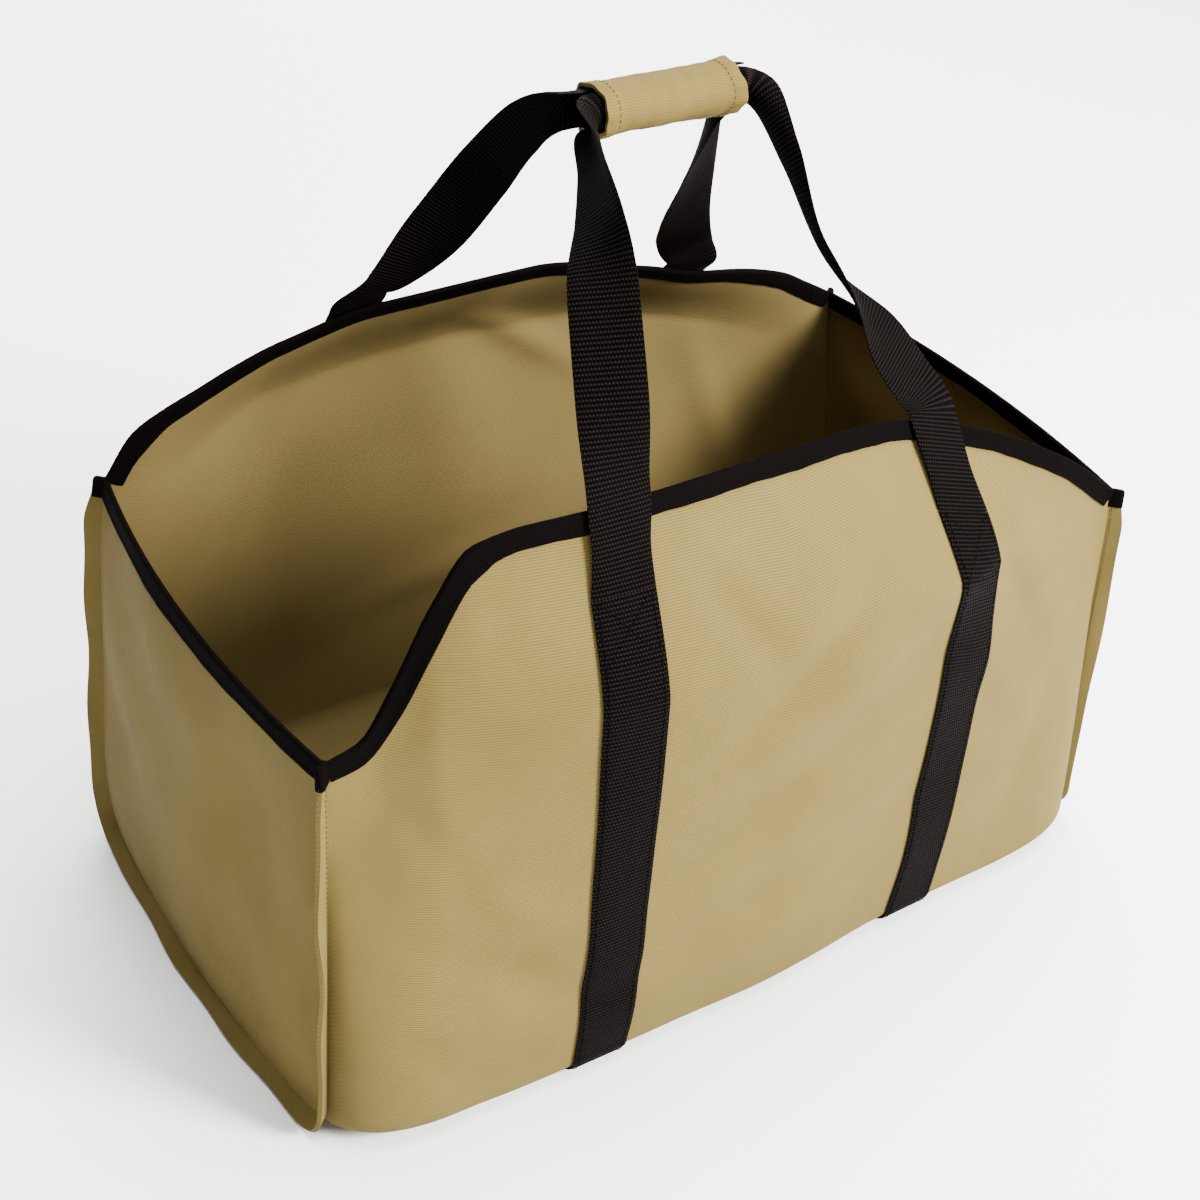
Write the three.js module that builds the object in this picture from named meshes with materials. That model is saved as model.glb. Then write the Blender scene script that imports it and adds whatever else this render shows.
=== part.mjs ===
// A firewood bag of stiff canvas that stands open on the floor.
// One long panel is the front, the bottom and the back, two lower panels close the ends,
// tape binds the rims, and two webbing straps run under the bag and rise into two handles
// that a canvas grip wraps together.
// Millimetres. X runs along the bag, the front faces -Y, Z is up and the floor is at zero.

import * as THREE from 'three';

// Driving sizes of the bag
const BAG_LENGTH = 572;
const BAG_DEPTH = 302;
const SIDE_HEIGHT = 400;
const END_HEIGHT = 284;
const BOTTOM_RADIUS = 17;

// How far the filled bag swells past its seams, and where its forms lie
const SIDE_BELLY = 54;
const CREST_HEIGHT = 294;
const CREST_SHARE = 0.82;
const END_BELLY = 9;
const END_RIM_BOW = 13;
const BOTTOM_BOW = 12;
const BOTTOM_BOW_RISE = 68;
const SEAM_SWAY = 12;
const RIM_PULL = 26;
const BOTTOM_SEAM_LIFT = 10;

// Cloth, tape and webbing
const CLOTH_WALL = 1.4;
const SEAM_ALLOWANCE = 11;
const TAPE_WALL = 1;
const TAPE_LEG = 12;
const WEBBING_WIDTH = 38;
const WEBBING_THICK = 2;
const STRAP_SPACING = 250;
const STITCH_DROP = 46;
const LEG_LEAN = 2;

// Handles and grip
const HANDLE_HEIGHT = 542;
const GRIP_LENGTH = 92;
const GRIP_DEPTH = 36;
const GRIP_HEIGHT = 28;
const GRIP_WALL = 2.2;
const GRIP_OVERLAP = 30;

// How the walls flatten towards the end seams: the power of the share of the half length, and
// the power of what is left, at the crest and at the floor
const CREST_TAPER = { share: 3, rest: 1.5 };
const FLOOR_TAPER = { share: 12, rest: 0.6 };
const RIM_EASE = 0.4;
const SEAM_EASE = 8;
const DENT_FREE = 5;

// Clearance between pieces that touch on the real bag
const CLEARANCE = 0.3;
const SEAM_CLEARANCE = 0.4;
const TAPE_CLEARANCE = 0.6;
const STITCH_GAP = 0.8;

// Rim of the long panel: along is a share of the half length, front and back are shares of
// the rise from the end height to the side height
const RIM_ROWS = [
  { along: -1, front: 0, back: 0 },
  { along: -0.93, front: 0.05, back: 0.24 },
  { along: -0.86, front: 0.32, back: 0.34 },
  { along: -0.79, front: 0.68, back: 0.42 },
  { along: -0.71, front: 0.96, back: 0.52 },
  { along: -0.6, front: 1, back: 0.64 },
  { along: -0.4, front: 1, back: 0.78 },
  { along: 0, front: 0.91, back: 0.8 },
  { along: 0.3, front: 0.79, back: 0.66 },
  { along: 0.44, front: 0.68, back: 0.55 },
  { along: 0.6, front: 0.55, back: 0.44 },
  { along: 0.8, front: 0.32, back: 0.26 },
  { along: 0.9, front: 0.17, back: 0.13 },
  { along: 1, front: 0, back: 0 },
];

// How far the handles pull each rim inward, as shares of the rim pull
const PULL_ROWS = [
  { along: -1, front: 0, back: 0 },
  { along: -0.7, front: -0.3, back: 0.5 },
  { along: -0.44, front: -0.45, back: 0.9 },
  { along: 0, front: 0.15, back: 0.9 },
  { along: 0.44, front: 0.95, back: 1.2 },
  { along: 0.66, front: 0.7, back: 0.9 },
  { along: 1, front: 0, back: 0 },
];

// Swell of the long panel's walls below the crest: up is a share of the crest's height
const SWELL_ROWS = [
  { up: 0, swell: 0.66 },
  { up: 0.12, swell: 0.76 },
  { up: 0.35, swell: 0.9 },
  { up: 0.8, swell: 1 },
  { up: 1, swell: 1 },
];

// How full the walls are along the bag, as a share of the swell
const FULL_ROWS = [
  { along: -1, full: 1 },
  { along: -0.44, full: 0.97 },
  { along: 0, full: 1 },
  { along: 0.44, full: 0.8 },
  { along: 1, full: 0.9 },
];

// How far each end seam leans out from the half length, as shares of the seam sway: up is a
// share of the end height
const SEAM_ROWS = [
  { up: 0, front_left: 0.35, back_left: 1.2, front_right: 0.35, back_right: 1.2 },
  { up: 0.2, front_left: 0.25, back_left: 1.5, front_right: 0, back_right: 1.57 },
  { up: 0.55, front_left: 0.1, back_left: 1, front_right: -0.35, back_right: 0.6 },
  { up: 0.87, front_left: 0, back_left: 0.5, front_right: -0.75, back_right: -0.3 },
  { up: 1, front_left: 0, back_left: 0, front_right: -1, back_right: -0.7 },
];

// Dents and swells of the walls: along and up are shares of the half length and the side
// height, wide and tall are shares of the side height, and deep is a share of the dent depth
const DENT_DEPTH = 8;
const SIDE_DENTS = [
  { side: -1, along: -0.74, up: 0.5, wide: 0.13, tall: 0.34, deep: 0.9 },
  { side: -1, along: -0.02, up: 0.44, wide: 0.22, tall: 0.18, deep: 0.6 },
  { side: -1, along: 0.78, up: 0.4, wide: 0.12, tall: 0.26, deep: 0.8 },
  { side: -1, along: -0.1, up: 0.18, wide: 0.3, tall: 0.1, deep: -0.4 },
  { side: 1, along: -0.6, up: 0.42, wide: 0.16, tall: 0.3, deep: 0.8 },
  { side: 1, along: 0.1, up: 0.4, wide: 0.24, tall: 0.2, deep: 0.8 },
  { side: 1, along: 0.72, up: 0.5, wide: 0.14, tall: 0.26, deep: 0.8 },
];

// Dents of the end panels: across is a share of the half depth, up a share of the end height
const END_DENTS = [
  { end: -1, across: -0.45, up: 0.62, wide: 0.14, tall: 0.26, deep: 0.8 },
  { end: -1, across: 0.3, up: 0.34, wide: 0.2, tall: 0.16, deep: 0.6 },
  { end: 1, across: 0.4, up: 0.58, wide: 0.16, tall: 0.28, deep: 0.8 },
  { end: 1, across: -0.35, up: 0.36, wide: 0.18, tall: 0.18, deep: 0.6 },
];

// Which edge of each handle leg turns up at the grip: 1 for the outer edge, -1 for the inner
const LEG_TURNS = { front_left: -1, front_right: -1, back_left: 1, back_right: 1 };

// Handle legs from the rim to the grip: inward, across and rise are shares of the way from
// the strap at the rim to the grip end, wide_x, wide_y and wide_z point to the webbing's upper
// edge, and curl is how far the webbing is rolled to the grip's oval
const LEG_ROWS = {
  front_left: [
    { inward: 0.05, across: 0.13, rise: 0.38, wide_x: 0.9, wide_y: -0.42, wide_z: 0.05, curl: 0 },
    { inward: 0.2, across: 0.34, rise: 0.7, wide_x: 0.85, wide_y: -0.45, wide_z: 0.3, curl: 0.05 },
    { inward: 0.42, across: 0.55, rise: 0.86, wide_x: 0.5, wide_y: -0.35, wide_z: 0.8, curl: 0.2 },
    { inward: 0.68, across: 0.78, rise: 0.96, wide_x: 0.2, wide_y: -0.2, wide_z: 0.95, curl: 0.55 },
  ],
  front_right: [
    { inward: 0.16, across: 0.13, rise: 0.16, wide_x: 0.92, wide_y: 0, wide_z: 0.42, curl: 0 },
    { inward: 0.46, across: 0.25, rise: 0.36, wide_x: 0.75, wide_y: 0.1, wide_z: 0.65, curl: 0.05 },
    { inward: 0.78, across: 0.47, rise: 0.6, wide_x: 0.5, wide_y: 0, wide_z: 0.84, curl: 0.2 },
    { inward: 0.88, across: 0.74, rise: 0.84, wide_x: 0.3, wide_y: -0.2, wide_z: 0.9, curl: 0.55 },
  ],
  back_left: [
    { inward: 0.18, across: 0.13, rise: 0.13, wide_x: 1, wide_y: 0, wide_z: 0.05, curl: 0 },
    { inward: 0.45, across: 0.33, rise: 0.38, wide_x: 0.8, wide_y: -0.5, wide_z: 0.3, curl: 0.05 },
    { inward: 0.66, across: 0.55, rise: 0.65, wide_x: 0.5, wide_y: -0.7, wide_z: 0.5, curl: 0.15 },
    { inward: 0.8, across: 0.8, rise: 0.88, wide_x: 0.12, wide_y: -0.3, wide_z: 0.95, curl: 0.45 },
  ],
  back_right: [
    { inward: 0.18, across: 0.14, rise: 0.14, wide_x: 1, wide_y: 0, wide_z: -0.3, curl: 0 },
    { inward: 0.5, across: 0.4, rise: 0.34, wide_x: 0.94, wide_y: 0.15, wide_z: 0.3, curl: 0.05 },
    { inward: 0.68, across: 0.64, rise: 0.6, wide_x: 0.85, wide_y: -0.2, wide_z: 0.5, curl: 0.15 },
    { inward: 0.84, across: 0.86, rise: 0.87, wide_x: 0.5, wide_y: -0.4, wide_z: 0.75, curl: 0.5 },
  ],
};

// How many steps each stretch of the cloth is drawn with
const WALL_STEPS = 8;
const RIM_STEPS = 2;
const CORNER_STEPS = 4;
const BOTTOM_STEPS = 6;
const END_STEPS = 8;
const STRAP_STEPS = 2;
const MIDDLE_STEPS = 8;
const HANDLE_STEPS = 56;
const WEBBING_STEPS = 4;
const GRIP_TURN_STEPS = 26;
const GRIP_LENGTH_STEPS = 4;
const TAPE_SHARES = [0, 0.5, 1];
const GRIP_SHARES = [-1, -0.8, -0.4, 0, 0.4, 0.8, 1];
const CORNER_NUDGE = 0.4;
const LEAST_LEAN = 0.5;

// Sizes worked out from the driving sizes
const HALF_LENGTH = BAG_LENGTH / 2;
const HALF_DEPTH = BAG_DEPTH / 2;
const HALF_WALL = CLOTH_WALL / 2;
const STRAP_CENTRE = STRAP_SPACING / 2;
const BOTTOM_LEVEL = WEBBING_THICK + CLEARANCE + HALF_WALL;
const SEAM_SHIFT = (CLOTH_WALL + SEAM_CLEARANCE) / 2;
const STITCH_SHARE = 1 - STITCH_DROP / (SIDE_HEIGHT - BOTTOM_RADIUS);
const STRAP_OFFSET = HALF_WALL + CLEARANCE + WEBBING_THICK / 2;
const TAPE_OFFSET = HALF_WALL + TAPE_CLEARANCE + TAPE_WALL / 2;
const HANDLE_OFFSET = TAPE_OFFSET + TAPE_WALL / 2 + 2 * CLEARANCE + WEBBING_THICK / 2;
const GRIP_SKIN = GRIP_WALL + 2 * CLEARANCE + WEBBING_THICK / 2;
const CURL_DEPTH = GRIP_DEPTH / 2 - GRIP_SKIN;
const CURL_HEIGHT = GRIP_HEIGHT / 2 - GRIP_SKIN;

const MATERIALS = {
  canvas: new THREE.MeshStandardMaterial({ color: '#b3a06f', roughness: 0.9, metalness: 0 }),
  tape: new THREE.MeshStandardMaterial({ color: '#1d1818', roughness: 0.8, metalness: 0 }),
  webbing: new THREE.MeshStandardMaterial({ color: '#241d1c', roughness: 0.7, metalness: 0 }),
  grip: new THREE.MeshStandardMaterial({ color: '#c8b98c', roughness: 0.9, metalness: 0 }),
};

const bag = new THREE.Group();

// A column of a table at any value of its key, joined by smooth steps
function smoothColumn(rows, key, column, value) {
  const last = rows.length - 1;
  if (value <= rows[0][key]) return rows[0][column];
  if (value >= rows[last][key]) return rows[last][column];
  const after = rows.findIndex((row) => row[key] > value);
  const slope = (low, high) => {
    const run = rows[high][key] - rows[low][key];
    return (rows[high][column] - rows[low][column]) / run;
  };
  const slopeAt = (index) => {
    if (index === 0) return slope(0, 1);
    if (index === last) return slope(last - 1, last);
    const before = slope(index - 1, index);
    const next = slope(index, index + 1);
    if (before * next <= 0) return 0;
    return (2 * before * next) / (before + next);
  };
  const low = rows[after - 1];
  const high = rows[after];
  const span = high[key] - low[key];
  const share = (value - low[key]) / span;
  const square = share * share;
  const cube = square * share;
  const start = (2 * cube - 3 * square + 1) * low[column];
  const leave = (cube - 2 * square + share) * span * slopeAt(after - 1);
  const end = (3 * square - 2 * cube) * high[column];
  const arrive = (cube - square) * span * slopeAt(after);
  return start + leave + end + arrive;
}

const lerp = THREE.MathUtils.lerp;

function steps(from, to, count) {
  return Array.from({ length: count + 1 }, (_, index) => lerp(from, to, index / count));
}

// Joins two grids of the same size, face to face, into one closed solid, each four-sided
// patch cut along its shorter diagonal
function shell(outer, inner) {
  const rows = outer.length;
  const columns = outer[0].length;
  const points = [...outer.flat(), ...inner.flat()];
  const faces = [];
  const quad = (a, b, c, d) => {
    const straight = points[a].distanceTo(points[c]) <= points[b].distanceTo(points[d]);
    if (straight) faces.push(a, b, c, a, c, d);
    else faces.push(a, b, d, b, c, d);
  };
  const out = (row, column) => row * columns + column;
  const inn = (row, column) => rows * columns + out(row, column);
  for (let row = 0; row < rows - 1; row += 1) {
    for (let column = 0; column < columns - 1; column += 1) {
      quad(out(row, column), out(row + 1, column), out(row + 1, column + 1), out(row, column + 1));
      quad(inn(row, column), inn(row, column + 1), inn(row + 1, column + 1), inn(row + 1, column));
    }
    const far = columns - 1;
    quad(out(row, 0), inn(row, 0), inn(row + 1, 0), out(row + 1, 0));
    quad(out(row, far), out(row + 1, far), inn(row + 1, far), inn(row, far));
  }
  for (let column = 0; column < columns - 1; column += 1) {
    const far = rows - 1;
    quad(out(0, column), out(0, column + 1), inn(0, column + 1), inn(0, column));
    quad(out(far, column), inn(far, column), inn(far, column + 1), out(far, column + 1));
  }
  return closedGeometry(points, faces);
}

// A geometry from points and triangles, turned so that its faces point out
function closedGeometry(points, faces) {
  let volume = 0;
  for (let corner = 0; corner < faces.length; corner += 3) {
    const [a, b, c] = [0, 1, 2].map((step) => points[faces[corner + step]]);
    volume += a.dot(new THREE.Vector3().crossVectors(b, c));
  }
  const turned = volume < 0 ? [...faces].reverse() : faces;
  const geometry = new THREE.BufferGeometry();
  const numbers = points.flatMap((point) => [point.x, point.y, point.z]);
  geometry.setAttribute('position', new THREE.Float32BufferAttribute(numbers, 3));
  geometry.setIndex(turned);
  geometry.computeVertexNormals();
  return geometry;
}

// The unit normal of each face of a grid, row direction times column direction
function faceNormal(grid, row, column) {
  const down = grid[row + 1][column + 1].clone().sub(grid[row][column]);
  const along = grid[row][column + 1].clone().sub(grid[row + 1][column]);
  return down.cross(along).normalize();
}

// The normal at each grid point, lengthened at folds so that an offset wall keeps its thickness
function gridNormals(grid) {
  const faces = grid.slice(1).map((line, row) =>
    line.slice(1).map((_, column) => faceNormal(grid, row, column)));
  return grid.map((line, row) => line.map((_, column) => {
    const near = [];
    for (const side of [row - 1, row]) {
      for (const next of [column - 1, column]) {
        if (faces[side] && faces[side][next]) near.push(faces[side][next]);
      }
    }
    const sum = near.reduce((total, normal) => total.add(normal), new THREE.Vector3());
    const normal = sum.normalize();
    const lean = Math.min(...near.map((face) => face.dot(normal)));
    return normal.divideScalar(Math.max(lean, LEAST_LEAN));
  }));
}

function offsetGrid(grid, normals, distance) {
  return grid.map((line, row) => line.map((point, column) =>
    point.clone().addScaledVector(normals[row][column], distance)));
}

// A sheet of even thickness with the grid in its middle
function sheet(grid, thickness) {
  const normals = gridNormals(grid);
  return shell(offsetGrid(grid, normals, thickness / 2), offsetGrid(grid, normals, -thickness / 2));
}

function addPiece(name, geometry, material) {
  const piece = new THREE.Mesh(geometry, MATERIALS[material]);
  piece.name = name;
  bag.add(piece);
}

// How deep the dents of a list are at one place
function dentAt(rows, place, across, up, acrossUnit, upUnit) {
  return rows.reduce((total, row) => {
    if (row[place.key] !== place.value) return total;
    const sideways = (across - row[place.column] * acrossUnit) / (row.wide * SIDE_HEIGHT);
    const upward = (up - row.up * upUnit) / (row.tall * SIDE_HEIGHT);
    return total + row.deep * DENT_DEPTH * Math.exp(-sideways * sideways - upward * upward);
  }, 0);
}

// The stations along the long panel's section, from the front rim under the bag to the back rim
function sectionStations() {
  const wall = [...steps(0, STITCH_SHARE, WALL_STEPS), ...steps(STITCH_SHARE, 1, RIM_STEPS).slice(1)];
  const stretch = (part, side, shares) => shares.map((share) => ({ part, side, share }));
  return [
    ...stretch('wall', -1, [...wall].reverse()),
    ...stretch('corner', -1, steps(0, 1, CORNER_STEPS).slice(1)),
    ...stretch('bottom', 1, steps(-1, 1, BOTTOM_STEPS).slice(1)),
    ...stretch('corner', 1, steps(1, 0, CORNER_STEPS).slice(1)),
    ...stretch('wall', 1, wall.slice(1)),
  ];
}

// The rim height of the long panel at a share of the half length
function rimHeight(side, along) {
  const column = side < 0 ? 'front' : 'back';
  return END_HEIGHT + (SIDE_HEIGHT - END_HEIGHT) * smoothColumn(RIM_ROWS, 'along', column, along);
}

// The level of the bottom panel, flat under the straps and raised to the end seams
function bottomLevel(along) {
  const flat = (STRAP_CENTRE + WEBBING_WIDTH) / HALF_LENGTH;
  const rise = Math.max(0, (Math.abs(along) - flat) / (1 - flat));
  return BOTTOM_LEVEL + (BOTTOM_SEAM_LIFT - BOTTOM_LEVEL) * rise * rise;
}

// How much of a form is left at a share of the half length
function tapered(along, { share, rest }) {
  return (1 - Math.abs(along) ** share) ** rest;
}

// How far a wall stands from the bag's middle plane: swollen up to a crest, then drawn in to
// the rim
function wallReach(side, along, height) {
  const rim = rimHeight(side, along);
  const crest = Math.min(CREST_HEIGHT, CREST_SHARE * rim);
  const taper = tapered(along, CREST_TAPER);
  const column = side < 0 ? 'front' : 'back';
  const pull = RIM_PULL * taper * smoothColumn(PULL_ROWS, 'along', column, along);
  const narrowed = lerp(tapered(along, FLOOR_TAPER), taper, Math.min(1, height / crest));
  const full = SIDE_BELLY * narrowed * smoothColumn(FULL_ROWS, 'along', 'full', along);
  const swell = full * smoothColumn(SWELL_ROWS, 'up', 'swell', height / crest);
  const above = THREE.MathUtils.clamp((height - crest) / (rim - crest), 0, 1);
  const drawn = lerp(above, above * above * (3 - 2 * above), RIM_EASE);
  const place = { key: 'side', value: side, column: 'along' };
  const dent = dentAt(SIDE_DENTS, place, along * HALF_LENGTH, height, HALF_LENGTH, SIDE_HEIGHT);
  return HALF_DEPTH + lerp(swell - dent * taper, -pull, drawn);
}

// One point of the section at a share of the half length, as depth, height and outward direction
function sectionPoint(station, along) {
  const low = bottomLevel(along);
  const spring = low + BOTTOM_RADIUS;
  if (station.part === 'wall') {
    const height = lerp(spring, rimHeight(station.side, along), station.share);
    const depth = station.side * wallReach(station.side, along, height);
    return { depth, height, out: new THREE.Vector3(0, station.side, 0) };
  }
  const foot = wallReach(station.side, along, spring) - BOTTOM_RADIUS;
  if (station.part === 'corner') {
    const angle = station.share * Math.PI / 2;
    const depth = station.side * (foot + BOTTOM_RADIUS * Math.cos(angle));
    const height = spring - BOTTOM_RADIUS * Math.sin(angle);
    const out = new THREE.Vector3(0, station.side * Math.cos(angle), -Math.sin(angle));
    return { depth, height, out };
  }
  const front = wallReach(-1, along, spring) - BOTTOM_RADIUS;
  const depth = lerp(-front, foot, (station.share + 1) / 2);
  return { depth, height: low, out: new THREE.Vector3(0, 0, -1) };
}

// How far an end seam leans out at one place
function seamSway(end, depth, height) {
  const name = end < 0 ? 'left' : 'right';
  const up = height / END_HEIGHT;
  const front = smoothColumn(SEAM_ROWS, 'up', `front_${name}`, up);
  const back = smoothColumn(SEAM_ROWS, 'up', `back_${name}`, up);
  return SEAM_SWAY * lerp(front, back, THREE.MathUtils.clamp((depth / HALF_DEPTH + 1) / 2, 0, 1));
}

// The seam line between the long panel and an end panel at one station
function seamPoint(station, end) {
  const { depth, height, out } = sectionPoint(station, end);
  const sway = seamSway(end, depth, height);
  const middle = Math.max(0, 1 - (depth / HALF_DEPTH) ** 2);
  const bow = BOTTOM_BOW * middle * Math.max(0, 1 - height / BOTTOM_BOW_RISE);
  const centre = new THREE.Vector3(end * (HALF_LENGTH + sway + bow), depth, height);
  const outward = new THREE.Vector3(end, 0, 0);
  const flange = outward.clone().add(out).normalize();
  const apart = outward.clone().sub(out).normalize();
  return { centre, flange, apart };
}

// The fold of one cloth at the seam and the edge of its allowance
function seamFold(station, end, side) {
  const { centre, flange, apart } = seamPoint(station, end);
  const fold = centre.clone().addScaledVector(apart, side * SEAM_SHIFT);
  const edge = fold.clone().addScaledVector(flange, SEAM_ALLOWANCE);
  return { fold, edge };
}

const STATIONS = sectionStations();
const STRAP_IN = (STRAP_CENTRE - WEBBING_WIDTH / 2) / HALF_LENGTH;
const STRAP_OUT = (STRAP_CENTRE + WEBBING_WIDTH / 2) / HALF_LENGTH;
const COLUMNS = [
  ...steps(-1, -STRAP_OUT, END_STEPS),
  ...steps(-STRAP_OUT, -STRAP_IN, STRAP_STEPS).slice(1),
  ...steps(-STRAP_IN, STRAP_IN, MIDDLE_STEPS).slice(1),
  ...steps(STRAP_IN, STRAP_OUT, STRAP_STEPS).slice(1),
  ...steps(STRAP_OUT, 1, END_STEPS).slice(1),
];

// The long panel: its middle surface, with the seam allowances turned out at both ends
function mainGrid() {
  return STATIONS.map((station) => {
    const left = seamFold(station, -1, -1);
    const right = seamFold(station, 1, -1);
    const inside = COLUMNS.slice(1, -1).map((along) => {
      const { depth, height, out } = sectionPoint(station, along);
      const end = Math.sign(along);
      const reach = end < 0 ? -left.fold.x : right.fold.x;
      const outside = Math.max(0, (Math.abs(along) - STRAP_OUT) / (1 - STRAP_OUT));
      const x = along * HALF_LENGTH + end * (reach - HALF_LENGTH) * outside ** 2;
      const push = SEAM_SHIFT * Math.SQRT1_2;
      return new THREE.Vector3(x, depth, height).addScaledVector(out, push * Math.abs(along) ** SEAM_EASE);
    });
    return [left.edge, left.fold, ...inside, right.fold, right.edge];
  });
}

// An end panel: a patch inside the seam line, bulged outward, with its allowance on three sides
function endGrid(end) {
  const folds = STATIONS.map((station) => seamFold(station, end, 1));
  const side = WALL_STEPS + RIM_STEPS + CORNER_STEPS / 2;
  const floor = BOTTOM_STEPS + CORNER_STEPS;
  const last = folds.length - 1;
  const front = folds.slice(0, side + 1);
  const back = folds.slice(last - side).reverse();
  const base = folds.slice(side, side + floor + 1);
  const top = steps(0, 1, floor).map((share) => {
    const point = front[0].fold.clone().lerp(back[0].fold, share);
    point.x += end * END_RIM_BOW * (1 - (2 * share - 1) ** 2);
    return point;
  });
  const grid = front.map((start, row) => top.map((_, column) => {
    const down = row / side;
    const over = column / floor;
    const sides = start.fold.clone().lerp(back[row].fold, over);
    const ends = top[column].clone().lerp(base[column].fold, down);
    const topLine = top[0].clone().lerp(top[floor], over);
    const baseLine = base[0].fold.clone().lerp(base[floor].fold, over);
    const point = sides.add(ends).sub(topLine.lerp(baseLine, down));
    const rise = Math.sin(Math.PI * down) * Math.sin(Math.PI * over);
    const place = { key: 'end', value: end, column: 'across' };
    const dent = dentAt(END_DENTS, place, point.y, point.z, HALF_DEPTH, END_HEIGHT);
    const free = Math.min(1, DENT_FREE * Math.min(down, 1 - down, over, 1 - over));
    point.x += end * (END_BELLY * rise - dent * free);
    return point;
  }));
  const rows = grid.map((line, row) => [front[row].edge, ...line, back[row].edge]);
  const edges = base.map((point) => point.edge);
  const nudge = (from, to) => from.edge.clone().lerp(to.edge, CORNER_NUDGE);
  rows[side][0] = nudge(front[side], front[side - 1]);
  rows[side][floor + 2] = nudge(back[side], back[side - 1]);
  edges[0] = nudge(base[0], base[1]);
  edges[floor] = nudge(base[floor], base[floor - 1]);
  return [...rows, [base[0].edge, ...edges, base[floor].edge]];
}

const MAIN_GRID = mainGrid();
const MAIN_NORMALS = gridNormals(MAIN_GRID);

// Two rows of points across a folded tape: its outside and its inside, leg, crest and leg
function tapeSection(under, down, outward, gap) {
  const at = (sideways, step) => under[step].clone().addScaledVector(outward[step], sideways);
  const over = (sideways, lift) => at(sideways, 0).addScaledVector(down, -lift);
  const far = gap + TAPE_WALL;
  const crest = CLEARANCE + TAPE_WALL;
  return {
    outer: [at(far, 2), at(far, 1), over(far, crest), over(-far, crest), at(-far, 1), at(-far, 2)],
    inner: [at(gap, 2), at(gap, 1), over(gap, CLEARANCE), over(-gap, CLEARANCE), at(-gap, 1), at(-gap, 2)],
  };
}

// The place and outward direction at a distance down one column of a grid from its rim
function walkColumn(grid, normals, column, distance) {
  let row = 0;
  let left = distance;
  let length = grid[0][column].distanceTo(grid[1][column]);
  while (left > length && row < grid.length - 2) {
    left -= length;
    row += 1;
    length = grid[row][column].distanceTo(grid[row + 1][column]);
  }
  const share = left / length;
  const point = grid[row][column].clone().lerp(grid[row + 1][column], share);
  const outward = normals[row][column].clone().lerp(normals[row + 1][column], share);
  return { point, outward };
}

// The tape over one rim of a panel, between its two seam folds
function rimBinding(rows) {
  const grid = rows.map((line) => line.slice(1, -1));
  const normals = gridNormals(grid);
  const last = grid[0].length - 1;
  const sections = grid[0].map((point, column) => {
    const before = grid[0][Math.max(column - 1, 0)];
    const after = grid[0][Math.min(column + 1, last)];
    const along = after.clone().sub(before).normalize();
    const down = grid[1][column].clone().sub(point).normalize();
    const slant = along.cross(down).length();
    const walk = TAPE_SHARES.map((share) =>
      walkColumn(grid, normals, column, share * TAPE_LEG / slant));
    const under = walk.map((place) => place.point);
    const outward = walk.map((place) => place.outward);
    return tapeSection(under, down.divideScalar(slant), outward, HALF_WALL + TAPE_CLEARANCE);
  });
  const trim = (index, next) => {
    const share = (TAPE_OFFSET + 2 * TAPE_WALL) / grid[0][index].distanceTo(grid[0][next]);
    for (const face of ['outer', 'inner']) {
      sections[index][face].forEach((point, step) => point.lerp(sections[next][face][step], share));
    }
  };
  trim(0, 1);
  trim(last, last - 1);
  return shell(sections.map((section) => section.outer), sections.map((section) => section.inner));
}

// The tape end folded over the top of one corner seam, around both seam allowances
function bindingTab(side, end) {
  const station = side < 0 ? STATIONS[0] : STATIONS[STATIONS.length - 1];
  const below = side < 0 ? STATIONS[1] : STATIONS[STATIONS.length - 2];
  const top = seamPoint(station, end);
  const low = seamPoint(below, end);
  const down = low.centre.clone().sub(top.centre).normalize();
  const reach = [TAPE_OFFSET + TAPE_WALL, SEAM_ALLOWANCE + CLEARANCE];
  const sections = reach.map((distance) => {
    const edge = top.centre.clone().addScaledVector(top.flange, distance);
    const under = TAPE_SHARES.map((share) => edge.clone().addScaledVector(down, share * TAPE_LEG));
    const outward = under.map(() => top.apart);
    return tapeSection(under, down, outward, SEAM_SHIFT + HALF_WALL + TAPE_CLEARANCE);
  });
  return shell(sections.map((section) => section.outer), sections.map((section) => section.inner));
}

// The columns of the long panel's grid that lie under a strap
function strapColumns(centre) {
  const tolerance = 0.001;
  const half = WEBBING_WIDTH / 2 + tolerance;
  const columns = COLUMNS.map((along, index) => ({ along, column: index + 1 }));
  const under = columns.filter(({ along }) => Math.abs(along * HALF_LENGTH - centre) < half);
  return under.map(({ column }) => column);
}

// The webbing sewn to the panel: it follows the panel's grid a clearance away
function strapGrid(centre) {
  const columns = strapColumns(centre);
  return STATIONS.map((_, row) => columns.map((column) =>
    MAIN_GRID[row][column].clone().addScaledVector(MAIN_NORMALS[row][column], STRAP_OFFSET)));
}

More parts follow.
